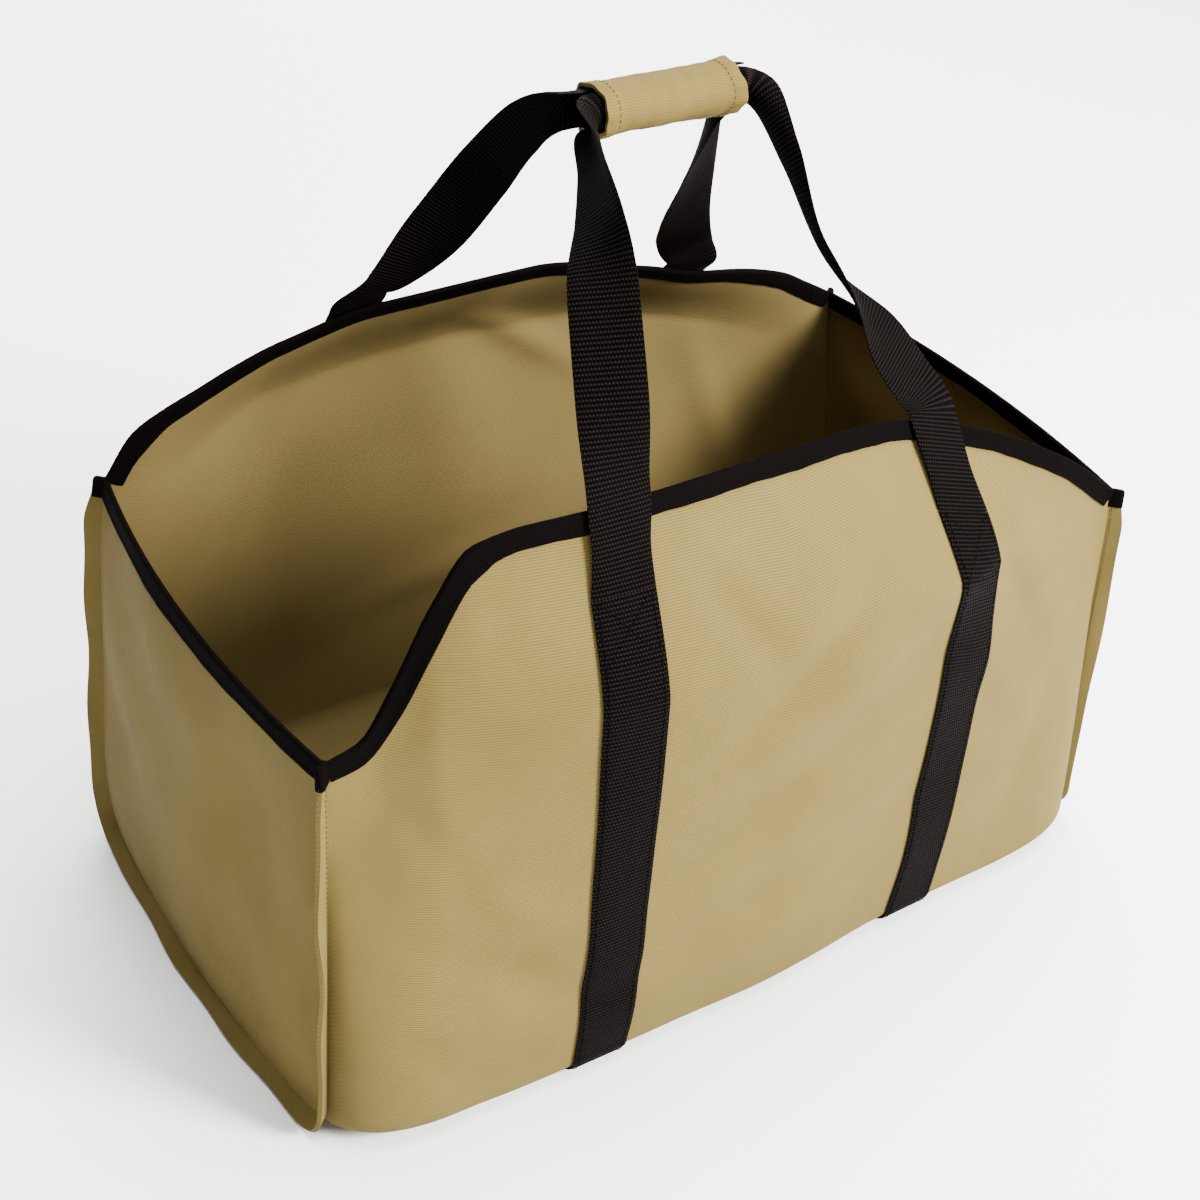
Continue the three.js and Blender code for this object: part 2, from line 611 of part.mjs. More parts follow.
// The free length of one handle leg, from the stitch row to just outside the grip
function legStations(side, end, edge, rows) {
  const wall = side < 0 ? [...MAIN_GRID] : [...MAIN_GRID].reverse();
  const facing = side < 0 ? [...MAIN_NORMALS] : [...MAIN_NORMALS].reverse();
  const strap = strapColumns(end * STRAP_CENTRE);
  const middle = strap[STRAP_STEPS / 2];
  const widthAt = (row) =>
    wall[row][strap[STRAP_STEPS]].clone().sub(wall[row][strap[0]]).multiplyScalar(end * edge / 2);
  const climbFrom = (row) => wall[row - 1][middle].clone().sub(wall[row][middle]).normalize();
  const sagAlong = (row, direction) => {
    const chord = wall[row][strap[0]].clone().lerp(wall[row][strap[STRAP_STEPS]], 0.5);
    return Math.max(0, chord.sub(wall[row][middle]).dot(direction));
  };
  const lifted = (row, offset) => {
    const out = facing[row][middle];
    return wall[row][middle].clone().addScaledVector(out, offset + sagAlong(row, out));
  };
  const climb = climbFrom(RIM_STEPS);
  const gap = STITCH_GAP + sagAlong(RIM_STEPS, climb);
  const start = lifted(RIM_STEPS, STRAP_OFFSET).addScaledVector(climb, gap);
  const seat = { centre: start, width: widthAt(RIM_STEPS) };
  const stations = [{ ...seat, curl: 0, square: 0 }];
  for (let row = RIM_STEPS - 1; row >= 0; row -= 1) {
    const inward = widthAt(row).setLength(LEG_LEAN * (1 - row / RIM_STEPS)).multiplyScalar(-edge);
    const centre = lifted(row, HANDLE_OFFSET).add(inward);
    stations.push({ centre, width: widthAt(row), curl: 0, square: 0 });
  }
  const rim = stations[stations.length - 1].centre;
  const above = rim.clone().addScaledVector(climbFrom(1), TAPE_LEG);
  stations.push({ centre: above, width: widthAt(0), curl: 0, square: 0.5 });
  const grip = new THREE.Vector3(end * (GRIP_LENGTH / 2), side * CURL_DEPTH, HANDLE_HEIGHT);
  for (const row of rows) {
    const centre = new THREE.Vector3(
      lerp(rim.x, grip.x, row.inward),
      lerp(rim.y, grip.y, row.across),
      lerp(rim.z, grip.z, row.rise),
    );
    const turned = new THREE.Vector3(end * edge * row.wide_x, -side * row.wide_y, row.wide_z);
    turned.normalize().multiplyScalar(WEBBING_WIDTH / 2);
    stations.push({ centre, width: turned, curl: row.curl, square: 1 });
  }
  return stations;
}

// The stretch of a handle inside the grip, rolled to one half of the grip's oval
function gripStations(side) {
  const reach = GRIP_LENGTH / 2 + 2 * WEBBING_THICK;
  return GRIP_SHARES.map((share) => ({
    centre: new THREE.Vector3(share * reach, side * CURL_DEPTH, HANDLE_HEIGHT),
    width: new THREE.Vector3(0, 0, WEBBING_WIDTH / 2),
    curl: 1,
    square: 1,
  }));
}

// The angle of the oval's arc that holds half of the squeezed webbing's width
function curlAngle() {
  const pace = Math.sqrt((CURL_DEPTH ** 2 + CURL_HEIGHT ** 2) / 2);
  return (WEBBING_WIDTH - WEBBING_THICK) / 2 / pace;
}

// A handle: both legs and the grip stretch on one smooth path, with its width turning along it
function handleGrid(side, name) {
  const leg = (end, legName) => legStations(side, end, LEG_TURNS[legName], LEG_ROWS[legName]);
  const left = leg(-1, `${name}_left`);
  const right = leg(1, `${name}_right`).reverse();
  const stations = [...left, ...gripStations(side), ...right];
  const smooth = (column) =>
    new THREE.CatmullRomCurve3(stations.map((station) => station[column]), false, 'centripetal');
  const path = smooth('centre');
  const breadth = smooth('width');
  const spans = stations.length - 1;
  return steps(0, 1, HANDLE_STEPS).map((share) => {
    const centre = path.getPoint(share);
    const ahead = path.getTangent(share);
    const place = Math.min(Math.floor(share * spans), spans - 1);
    const between = (column) =>
      lerp(stations[place][column], stations[place + 1][column], share * spans - place);
    const width = breadth.getPoint(share);
    const squared = width.clone().addScaledVector(ahead, -width.dot(ahead));
    width.lerp(squared.setLength(WEBBING_WIDTH / 2), between('square'));
    const bend = width.clone().cross(ahead).normalize().multiplyScalar(-side);
    return steps(-1, 1, WEBBING_STEPS).map((across) => {
      const angle = across * curlAngle();
      const rolled = CURL_HEIGHT * Math.sin(angle) / (WEBBING_WIDTH / 2);
      const wide = lerp(across, rolled, between('curl'));
      const deep = CURL_DEPTH * (1 - Math.cos(angle)) * between('curl');
      return centre.clone().addScaledVector(width, wide).addScaledVector(bend, deep);
    });
  });
}

// The grip: canvas wound once round both handles, its last part lying over its first
function gripWrap() {
  const overlap = THREE.MathUtils.degToRad(GRIP_OVERLAP);
  const turn = 2 * Math.PI + overlap;
  const ring = (outside) => steps(-0.5, 0.5, GRIP_LENGTH_STEPS).map((share) =>
    steps(0, 1, GRIP_TURN_STEPS).map((along) => {
      const angle = turn * along;
      const climb = THREE.MathUtils.clamp((angle - 2 * Math.PI) / overlap + 1, 0, 1);
      const lift = climb * (GRIP_WALL + CLEARANCE) - (outside ? 0 : GRIP_WALL);
      const depth = (GRIP_DEPTH / 2 + lift) * Math.sin(angle);
      const height = (GRIP_HEIGHT / 2 + lift) * Math.cos(angle);
      return new THREE.Vector3(share * GRIP_LENGTH, depth, HANDLE_HEIGHT - height);
    }));
  return shell(ring(true), ring(false));
}

function addHandles() {
  addPiece('handle_front', sheet(handleGrid(-1, 'front'), WEBBING_THICK), 'webbing');
  addPiece('handle_back', sheet(handleGrid(1, 'back'), WEBBING_THICK), 'webbing');
  addPiece('handle_grip', gripWrap(), 'grip');
}

function addPanels() {
  addPiece('main_panel', sheet(MAIN_GRID, CLOTH_WALL), 'canvas');
  for (const [name, end] of [['left', -1], ['right', 1]]) {
    const grid = endGrid(end);
    addPiece(`end_panel_${name}`, sheet(grid, CLOTH_WALL), 'canvas');
    addPiece(`binding_${name}`, rimBinding(grid), 'tape');
  }
}

function addBindings() {
  addPiece('binding_front', rimBinding(MAIN_GRID), 'tape');
  addPiece('binding_back', rimBinding([...MAIN_GRID].reverse()), 'tape');
  for (const [sideName, side] of [['front', -1], ['back', 1]]) {
    for (const [endName, end] of [['left', -1], ['right', 1]]) {
      addPiece(`binding_tab_${sideName}_${endName}`, bindingTab(side, end), 'tape');
    }
  }
}

function addStraps() {
  for (const [name, end] of [['left', -1], ['right', 1]]) {
    const grid = strapGrid(end * STRAP_CENTRE).slice(RIM_STEPS, -RIM_STEPS);
    addPiece(`strap_${name}`, sheet(grid, WEBBING_THICK), 'webbing');
  }
}

addPanels();
addBindings();
addStraps();
addHandles();

export default bag;
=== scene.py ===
"""The look of the firewood bag: cloth, tape, webbing, grip, stitches, light and camera.

Metres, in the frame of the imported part: X runs along the bag, the front faces -Y and Z is up.
"""

import math

import bpy
import numpy as np
from mathutils import Matrix, Vector


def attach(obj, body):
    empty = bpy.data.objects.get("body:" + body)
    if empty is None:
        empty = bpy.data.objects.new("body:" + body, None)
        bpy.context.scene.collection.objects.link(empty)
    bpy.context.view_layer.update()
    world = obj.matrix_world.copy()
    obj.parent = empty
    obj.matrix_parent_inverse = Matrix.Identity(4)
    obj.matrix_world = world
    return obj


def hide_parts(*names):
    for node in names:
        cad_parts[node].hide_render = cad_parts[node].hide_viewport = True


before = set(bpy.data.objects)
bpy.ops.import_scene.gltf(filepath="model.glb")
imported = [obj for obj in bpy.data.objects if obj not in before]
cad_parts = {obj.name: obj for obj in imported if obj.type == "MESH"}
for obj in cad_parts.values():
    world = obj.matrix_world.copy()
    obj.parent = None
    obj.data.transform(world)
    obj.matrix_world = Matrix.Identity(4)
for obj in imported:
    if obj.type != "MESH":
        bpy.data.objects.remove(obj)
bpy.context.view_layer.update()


def table(names, rows):
    """Rows of values, each as a dictionary under the same names."""
    return [dict(zip(names.split(), row)) for row in rows]


# Driving sizes of the bag, as in the part
BAG_LENGTH = 0.572
BAG_DEPTH = 0.302
SIDE_HEIGHT = 0.400
END_HEIGHT = 0.284
BOTTOM_RADIUS = 0.017

# How far the filled bag swells past its seams
SIDE_BELLY = 0.054
CREST_HEIGHT = 0.294
CREST_SHARE = 0.82
END_BELLY = 0.009
END_RIM_BOW = 0.013
BOTTOM_BOW = 0.012
BOTTOM_BOW_RISE = 0.068
SEAM_SWAY = 0.012
RIM_PULL = 0.026
BOTTOM_SEAM_LIFT = 0.010
DENT_DEPTH = 0.008

# How the forms ease along the bag: the powers of a taper toward the ends, the share of the smooth
# step in the rim's pull, the power of the seam's push and how fast the end dents fade at an edge
CREST_TAPER = (3, 1.5)
FLOOR_TAPER = (12, 0.6)
RIM_EASE = 0.4
SEAM_EASE = 8
DENT_FREE = 5

# Cloth, tape and webbing. The two cloths of a corner seam press into each other a little, so that
# no light shows between them.
CLOTH_WALL = 0.0014
SEAM_ALLOWANCE = 0.011
TAPE_WALL = 0.001
TAPE_LEG = 0.012
TAPE_SEEN = 0.0105
WEBBING_WIDTH = 0.038
WEBBING_THICK = 0.002
STRAP_SPACING = 0.250
STITCH_DROP = 0.046
WAIST_SHARE = 0.92
LEG_LEAN = 0.002
WEBBING_EDGE_POWER = 10
WEBBING_EDGE_LEAST = 0.3
CLEARANCE = 0.0003
SEAM_OVERLAP = 0.0002
TAPE_CLEARANCE = 0.0003
TAB_SHARE = 0.6
TAB_TAPER = 0.030
TAPE_SHARES = (0.08, 0.3, 0.55, 0.8, 1)
TAB_SHARES = (0.1, 0.4, 0.7, 1)
TAB_LEAST_WALL = 0.3

# Handles and grip
HANDLE_HEIGHT = 0.542
GRIP_LENGTH = 0.092
GRIP_DEPTH = 0.036
GRIP_HEIGHT = 0.028
GRIP_WALL = 0.0022
GRIP_OVERLAP = math.radians(30)
GRIP_SHARES = (-1, -0.8, -0.4, 0, 0.4, 0.8, 1)

# Small forms of the grip canvas: where its ends begin and how long they run, as shares of its
# length, their flare, the right half's extra flare and where it begins, the pucker and the sideways
# wave at the ends, and how far the wrinkles are drawn together along the grip
GRIP_END = 0.36
GRIP_END_RUN = 0.14
GRIP_FLARE = 0.0009
GRIP_RIGHT_FLARE = 0.0006
GRIP_RIGHT = 0.1
GRIP_PUCKER = 0.00045
GRIP_PUCKERS = 9
GRIP_WAVE = 0.0008
GRIP_WAVES = 3
GRIP_WRINKLING = 1.6

# Weave, ribs and stitches
CANVAS_RIB = 0.0017
CANVAS_THREAD = 0.0009
WEBBING_RIB = 0.0026
WEBBING_THREAD = 0.0019
RIB_SHARE = 0.65
TAPE_TWILL = 0.0016
STITCH_PITCH = 0.0036
STITCH_LENGTH = 0.0027
STITCH_THICK = 0.0006
STITCH_RING = 4
BOX_SHARE = 0.11
SEAM_THREAD_LIFT = 1.2

# A stitch from end to end: place along it, width and rise in shares of its thickness
STITCH_PROFILE = [
    (0, 0.35, -0.3), (0.18, 0.95, 0.3), (0.5, 1, 0.45), (0.82, 0.95, 0.3), (1, 0.35, -0.3),
]

# Soft unevenness: how long its waves are, how high they are and where its random draws start
WALL_RIPPLE = (0.09, 0.0005, 7)
END_RIPPLE = (0.085, 0.0020, 20)
ALLOWANCE_RIPPLE = (0.075, 0.0011, 40)
GRIP_RIPPLE = (0.03, 0.00035, 61)
RIPPLE_WAVES = 9
RIPPLE_SPREAD = (0.7, 1.8)

# The tape's uneven width: how much, and how fast it changes from column to column
TAPE_WAVES = [(0.03, 0.37), (0.015, 1.13)]

# Sizes worked out from the driving sizes
HALF_LENGTH = BAG_LENGTH / 2
HALF_DEPTH = BAG_DEPTH / 2
HALF_WALL = CLOTH_WALL / 2
STRAP_CENTRE = STRAP_SPACING / 2
STRAP_OUT = (STRAP_CENTRE + WEBBING_WIDTH / 2) / HALF_LENGTH
BOTTOM_LEVEL = WEBBING_THICK + CLEARANCE + HALF_WALL
SEAM_SHIFT = (CLOTH_WALL - SEAM_OVERLAP) / 2
STITCH_SHARE = 1 - STITCH_DROP / (SIDE_HEIGHT - BOTTOM_RADIUS)
STRAP_OFFSET = HALF_WALL + CLEARANCE + WEBBING_THICK / 2
TAPE_OFFSET = HALF_WALL + TAPE_CLEARANCE + TAPE_WALL / 2
HANDLE_OFFSET = TAPE_OFFSET + TAPE_WALL / 2 + 3 * CLEARANCE + WEBBING_THICK / 2
GRIP_SKIN = GRIP_WALL + 2 * CLEARANCE + WEBBING_THICK / 2
CURL_DEPTH = GRIP_DEPTH / 2 - GRIP_SKIN
CURL_HEIGHT = GRIP_HEIGHT / 2 - GRIP_SKIN
GRIP_RADIUS = (GRIP_DEPTH + GRIP_HEIGHT) / 4

# How many steps each stretch of the cloth is drawn with
WALL_STEPS = 84
CORNER_STEPS = 12
BOTTOM_STEPS = 48
LENGTH_STEPS = 144
FLANGE_STEPS = 4
TAPE_CREST_STEPS = 8
WEBBING_STEPS = 12
HANDLE_STEPS = 260
GRIP_TURN_STEPS = 120
GRIP_LENGTH_STEPS = 46
SIDE_ROWS = WALL_STEPS + CORNER_STEPS // 2

# The grip's row of end stitches, the columns to each side that give a rim's direction, the angle
# from which an edge is sharp, and the least values of a divisor and of a gap between spline points
GRIP_STITCH_ROW = 4
TAPE_REACH = 4
SHARP_ANGLE = math.radians(50)
TINY = 1e-9
LEAST_GAP = 1e-3

# Rim of the long panel: along is a share of the half length, front and back are shares of
# the rise from the end height to the side height
RIM_ROWS = table("along front back", [
    (-1, 0, 0),
    (-0.93, 0.05, 0.24),
    (-0.86, 0.32, 0.34),
    (-0.79, 0.68, 0.42),
    (-0.71, 0.96, 0.52),
    (-0.6, 1, 0.64),
    (-0.4, 1, 0.78),
    (0, 0.91, 0.8),
    (0.3, 0.79, 0.66),
    (0.44, 0.68, 0.55),
    (0.6, 0.55, 0.44),
    (0.8, 0.32, 0.26),
    (0.9, 0.17, 0.13),
    (1, 0, 0),
])

# How far the handles pull each rim inward, as shares of the rim pull
PULL_ROWS = table("along front back", [
    (-1, 0, 0),
    (-0.7, -0.3, 0.5),
    (-0.44, -0.45, 0.9),
    (0, 0.15, 0.9),
    (0.44, 0.95, 1.2),
    (0.66, 0.7, 0.9),
    (1, 0, 0),
])

# Swell of the long panel's walls below the crest: up is a share of the crest's height
SWELL_ROWS = table("up swell", [
    (0, 0.66),
    (0.12, 0.76),
    (0.35, 0.9),
    (0.8, 1),
    (1, 1),
])

# How full the walls are along the bag, as a share of the swell
FULL_ROWS = table("along full", [
    (-1, 1),
    (-0.44, 0.97),
    (0, 1),
    (0.44, 0.8),
    (1, 0.9),
])

# How far each end seam leans out from the half length, as shares of the seam sway: up is a
# share of the end height
SEAM_ROWS = table("up front_left back_left front_right back_right", [
    (0, 0.35, 1.2, 0.35, 1.2),
    (0.2, 0.25, 1.5, 0, 1.57),
    (0.55, 0.1, 1, -0.35, 0.6),
    (0.87, 0, 0.5, -0.75, -0.3),
    (1, 0, 0, -1, -0.7),
])

# Dents of the long panel's walls, as in the part
SIDE_DENTS = table("side along up wide tall deep", [
    (-1, -0.74, 0.5, 0.13, 0.34, 0.9),
    (-1, -0.02, 0.44, 0.22, 0.18, 0.6),
    (-1, 0.78, 0.4, 0.12, 0.26, 0.8),
    (-1, -0.1, 0.18, 0.3, 0.1, -0.4),
    (1, -0.6, 0.42, 0.16, 0.3, 0.8),
    (1, 0.1, 0.4, 0.24, 0.2, 0.8),
    (1, 0.72, 0.5, 0.14, 0.26, 0.8),
])

# Dents of the end panels, as in the part
END_DENTS = table("end across up wide tall deep", [
    (-1, -0.45, 0.62, 0.14, 0.26, 0.8),
    (-1, 0.3, 0.34, 0.2, 0.16, 0.6),
    (1, 0.4, 0.58, 0.16, 0.28, 0.8),
    (1, -0.35, 0.36, 0.18, 0.18, 0.6),
])

# Soft creases of the walls: x and up are the middle in metres, turn is the crease's angle to
# level, long and wide are its half sizes and deep is how far it goes in
CREASES = table("side x up turn long wide deep", [
    (-1, 0.02, 0.3, 38, 0.08, 0.013, 0.0066),
    (-1, 0.055, 0.268, 25, 0.07, 0.016, -0.0055),
    (-1, -0.06, 0.33, -55, 0.05, 0.012, 0.0043),
    (-1, 0.185, 0.235, -60, 0.085, 0.015, 0.007),
    (-1, 0.165, 0.2, -50, 0.08, 0.016, -0.0043),
    (-1, 0.225, 0.14, 70, 0.07, 0.016, 0.0059),
    (-1, -0.238, 0.225, -62, 0.06, 0.013, 0.0066),
    (-1, -0.215, 0.19, -42, 0.07, 0.015, -0.0047),
    (-1, -0.205, 0.125, -35, 0.075, 0.016, 0.007),
    (-1, -0.24, 0.07, -55, 0.05, 0.014, 0.0055),
    (-1, 0.01, 0.195, 28, 0.09, 0.018, 0.0055),
    (-1, -0.02, 0.1, 12, 0.1, 0.017, 0.0051),
    (1, -0.18, 0.2, 65, 0.08, 0.014, 0.0059),
    (1, 0.03, 0.29, -35, 0.07, 0.012, 0.0055),
    (1, 0.2, 0.18, -70, 0.08, 0.014, 0.0059),
    (1, 0, 0.11, 10, 0.09, 0.014, 0.0047),
])

# The tape end over a corner seam: reach along the seam allowance and how wide it stands open
TAB_SECTIONS = [
    (-0.3, 1), (0, 1), (0.5, 1), (0.9, 1),
    (1.1, 0.95), (1.22, 0.75), (1.3, 0.4), (1.32, 0.05),
]

# Which edge of each handle leg turns up at the grip: 1 for the outer edge, -1 for the inner
LEG_TURNS = {"front_left": -1, "front_right": -1, "back_left": 1, "back_right": 1}

# Handle legs from the rim to the grip, as in the part
LEG_COLUMNS = "inward across rise wide_x wide_y wide_z curl"
LEG_ROWS = {
    "front_left": table(LEG_COLUMNS, [
        (0.05, 0.13, 0.38, 0.9, -0.42, 0.05, 0),
        (0.2, 0.34, 0.7, 0.85, -0.45, 0.3, 0.05),
        (0.42, 0.55, 0.86, 0.5, -0.35, 0.8, 0.2),
        (0.68, 0.78, 0.96, 0.2, -0.2, 0.95, 0.55),
    ]),
    "front_right": table(LEG_COLUMNS, [
        (0.16, 0.13, 0.16, 0.92, 0, 0.42, 0),
        (0.46, 0.25, 0.36, 0.75, 0.1, 0.65, 0.05),
        (0.78, 0.47, 0.6, 0.5, 0, 0.84, 0.2),
        (0.88, 0.74, 0.84, 0.3, -0.2, 0.9, 0.55),
    ]),
    "back_left": table(LEG_COLUMNS, [
        (0.18, 0.13, 0.13, 1, 0, 0.05, 0),
        (0.45, 0.33, 0.38, 0.8, -0.5, 0.3, 0.05),
        (0.66, 0.55, 0.65, 0.5, -0.7, 0.5, 0.15),
        (0.8, 0.8, 0.88, 0.12, -0.3, 0.95, 0.45),
    ]),
    "back_right": table(LEG_COLUMNS, [
        (0.18, 0.14, 0.14, 1, 0, -0.3, 0),
        (0.5, 0.4, 0.34, 0.94, 0.15, 0.3, 0.05),
        (0.68, 0.64, 0.6, 0.85, -0.2, 0.5, 0.15),
        (0.84, 0.86, 0.87, 0.5, -0.4, 0.75, 0.5),
    ]),
}

# The photograph's camera
CAMERA_PLACE = (-0.6174, -0.8635, 0.9659)
CAMERA_TURN = math.radians(35.57)
CAMERA_DOWN = math.radians(34.0)
CAMERA_ROLL = math.radians(4.51)
CAMERA_LENS = 59.913
CAMERA_SENSOR = 36.0
CAMERA_SHIFT = (-0.0222, -0.0593)

# Colours of each cloth: the rib tops, the hollows (darkened as painted shade between the threads, and also
# the colour of the random dark blotches) and the warmer places
CANVAS_LOOKS = {
    "canvas": ("canvas_khaki", (0.144, 0.108, 0.033, 1), (0.058, 0.042, 0.009, 1), (0.124, 0.086, 0.025, 1)),
    "lining": ("canvas_inside", (0.130, 0.096, 0.034, 1), (0.080, 0.058, 0.018, 1), (0.118, 0.082, 0.028, 1)),
    "grip": ("canvas_grip", (0.128, 0.093, 0.026, 1), (0.078, 0.055, 0.013, 1), (0.114, 0.078, 0.021, 1)),
}
# Webbing: its near-black colour, then the grey of the glints painted on the tops of its ribs
WEBBING_BASE_AND_GLINT_COLOURS = [(0.0002, 0.0001, 0.0001, 1), (0.0110, 0.0074, 0.0064, 1)]
TAPE_COLOURS = [(0.0008, 0.0005, 0.0005, 1), (0.0022, 0.0015, 0.0014, 1)]
THREAD_COLOUR = (0.105, 0.071, 0.021, 1)
BLACK_THREAD_COLOUR = (0.0009, 0.0006, 0.0006, 1)
THREAD_SHADE = 0.6
THREAD_TINT_SIZE = 0.004
FLOOR_COLOUR = (0.93, 0.93, 0.925, 1)

# Roughness and specular level of each surface, then the height and strength of its relief
CANVAS_SURFACE = (0.8, 0.06, 0.0003, 0.6)
WEBBING_SURFACE = (0.75, 0.015, 0.0007, 0.8)
TAPE_SURFACE = (0.85, 0.01, 0.0003, 0.5)
THREAD_SURFACE = (0.75, 0.03)
FLOOR_SURFACE = (0.9, 0.3)
# How narrow the painted glints on the webbing's rib tops are
WEBBING_GLINT_SHARPNESS = 4.0

# Blotches of the canvas: the size of the dark ones, what is taken off them and their strength, and
# the size and strength of the warm ones
DARK_BLOTCHES = (0.05, 0.3, 0.6)
WARM_BLOTCHES = (0.13, 0.5)

# Floor, sky and lamps: name, place, size and power in watts
FLOOR_REACH = 12.0
SKY_STRENGTH = 0.38
LAMPS = [
    ("key", (1.45, -2.3, 1.70), 1.0, 500),
    ("back", (0.9, 2.5, 1.6), 1.8, 140),
    ("top", (0.6, 0.1, 3.4), 3.0, 460),
]
LAMP_AIM = (0, 0, 0.2)


def add_camera():
    """The camera at the photograph's place, turned about its own axis as the photograph is."""
    side = Vector((math.cos(CAMERA_TURN), -math.sin(CAMERA_TURN), 0))
    ahead = Vector((math.sin(CAMERA_TURN) * math.cos(CAMERA_DOWN),
                    math.cos(CAMERA_TURN) * math.cos(CAMERA_DOWN),
                    -math.sin(CAMERA_DOWN)))
    over = side.cross(ahead)
    right = side * math.cos(CAMERA_ROLL) + over * math.sin(CAMERA_ROLL)
    up = over * math.cos(CAMERA_ROLL) - side * math.sin(CAMERA_ROLL)
    lens = bpy.data.cameras.new("photo_camera")
    lens.lens = CAMERA_LENS
    lens.sensor_width = CAMERA_SENSOR
    lens.shift_x, lens.shift_y = CAMERA_SHIFT
    camera = bpy.data.objects.new("photo_camera", lens)
    turn = Matrix((right, up, -ahead)).transposed()
    camera.matrix_world = Matrix.Translation(CAMERA_PLACE) @ turn.to_4x4()
    bpy.context.collection.objects.link(camera)
    bpy.context.scene.camera = camera


# Numbers and grids

def hermite(share, start, leave, end, arrive):
    """A smooth way from one value to another, with the slopes that it leaves and arrives with."""
    square, cube = share ** 2, share ** 3
    value = (2 * cube - 3 * square + 1) * start + (cube - 2 * square + share) * leave
    return value + (3 * square - 2 * cube) * end + (cube - square) * arrive


def smooth_column(rows, key, column, values):
    """A column of a table at values of its key, joined by smooth steps."""
    keys = np.array([row[key] for row in rows], float)
    heights = np.array([row[column] for row in rows], float)
    runs = np.diff(keys)
    slopes = np.diff(heights) / runs
    before, after = slopes[:-1], slopes[1:]
    same = before * after > 0
    inner = np.where(same, 2 * before * after / np.where(same, before + after, 1), 0)
    tangents = np.concatenate([slopes[:1], inner, slopes[-1:]])
    values = np.clip(np.asarray(values, float), keys[0], keys[-1])
    low = np.clip(np.searchsorted(keys, values, side="right") - 1, 0, len(keys) - 2)
    share = (values - keys[low]) / runs[low]
    leave, arrive = runs[low] * tangents[low], runs[low] * tangents[low + 1]
    return hermite(share, heights[low], leave, heights[low + 1], arrive)


def mix(start, end, share):
    """A value between two others."""
    return start + (end - start) * share


def smooth_step(share):
    """A share from 0 to 1 with a soft start and end."""
    share = np.clip(share, 0, 1)
    return share * share * (3 - 2 * share)


def unit(vectors):
    """Vectors of length 1."""
    length = np.linalg.norm(vectors, axis=-1, keepdims=True)
    return vectors / np.maximum(length, TINY)


def grid_normals(grid):
    """The unit normal at each point of a grid, row direction times column direction."""
    down = np.gradient(grid, axis=0)
    along = np.gradient(grid, axis=1)
    return unit(np.cross(down, along))


def tapered(along, powers):
    """A share that falls from 1 at the bag's middle to 0 at its ends."""
    share, rest = powers
    return (1 - np.abs(along) ** share) ** rest


def ripple(first, second, kind, turn_on=0):
    """A soft random unevenness of a flat cloth, a sum of a few long waves."""
    size, height, seed = kind
    chance = np.random.default_rng(seed + turn_on)
    total = np.zeros(np.broadcast(first, second).shape)
    for _ in range(RIPPLE_WAVES):
        turn = chance.uniform(0, math.pi)
        pitch = size * chance.uniform(*RIPPLE_SPREAD)
        shift = chance.uniform(0, 2 * math.pi)
        place = first * math.cos(turn) + second * math.sin(turn)
        total += np.sin(2 * math.pi * place / pitch + shift)
    return total * height / math.sqrt(RIPPLE_WAVES)


def arc_lengths(points, axis=0):
    """How far each point lies from the first, measured along one direction of a line or grid."""
    steps = np.linalg.norm(np.diff(points, axis=axis), axis=-1)
    start = np.zeros_like(steps.take([0], axis=axis))
    return np.concatenate([start, np.cumsum(steps, axis=axis)], axis=axis)


def spline(points, places):
    """Points on a centripetal Catmull-Rom curve, places from 0 to 1, the same share to each span."""
    points = np.asarray(points, float)
    padded = np.vstack([2 * points[0] - points[1], points, 2 * points[-1] - points[-2]])
    spans = len(points) - 1
    result = []
    for place in places:
        low = min(int(place * spans), spans - 1)
        share = place * spans - low
        p0, p1, p2, p3 = padded[low:low + 4]
        pairs = ((p0, p1), (p1, p2), (p2, p3))
        gaps = [max(np.linalg.norm(b - a) ** 0.5, LEAST_GAP) for a, b in pairs]
        d0, d1, d2 = gaps
        leave = ((p1 - p0) / d0 - (p2 - p0) / (d0 + d1) + (p2 - p1) / d1) * d1
        arrive = ((p2 - p1) / d1 - (p3 - p1) / (d1 + d2) + (p3 - p2) / d2) * d1
        result.append(hermite(share, p1, leave, p2, arrive))
    return np.array(result)


# Meshes

def link_mesh(name, points, faces, flat_map, materials, face_slots=None):
    """An object from points and four-sided faces, with a cloth map in metres."""
    mesh = bpy.data.meshes.new(name)
    mesh.from_pydata(points.tolist(), [], faces.tolist())
    layer = mesh.uv_layers.new(name="cloth")
    corners = np.empty(len(mesh.loops), dtype=np.int32)
    mesh.loops.foreach_get("vertex_index", corners)
    layer.data.foreach_set("uv", flat_map[corners].astype(np.float32).ravel())
    mesh.polygons.foreach_set("use_smooth", np.ones(len(mesh.polygons), dtype=bool))
    for material in materials:
        mesh.materials.append(material)
    if face_slots is not None:
        mesh.polygons.foreach_set("material_index", face_slots.astype(np.int32))
    mesh.update()
    mesh.set_sharp_from_angle(angle=SHARP_ANGLE)
    piece = bpy.data.objects.new(name, mesh)
    bpy.context.collection.objects.link(piece)
    return piece


def shell_faces(rows, columns):
    """Faces of two grids of one size joined at their borders: the outside, the inside, the border."""
    index = np.arange(rows * columns).reshape(rows, columns)
    under = index + rows * columns
    outside = np.stack([index[:-1, :-1], index[1:, :-1], index[1:, 1:], index[:-1, 1:]], -1)
    inside = np.stack([under[:-1, :-1], under[:-1, 1:], under[1:, 1:], under[1:, :-1]], -1)
    border = []
    for line, below, turned in (
        (index[:, 0], under[:, 0], False),
        (index[:, -1], under[:, -1], True),
        (index[0, :], under[0, :], True),
        (index[-1, :], under[-1, :], False),
    ):
        faces = np.stack([line[:-1], below[:-1], below[1:], line[1:]], -1)
        border.append(faces[:, ::-1] if turned else faces)
    return outside.reshape(-1, 4), inside.reshape(-1, 4), np.vstack(border)


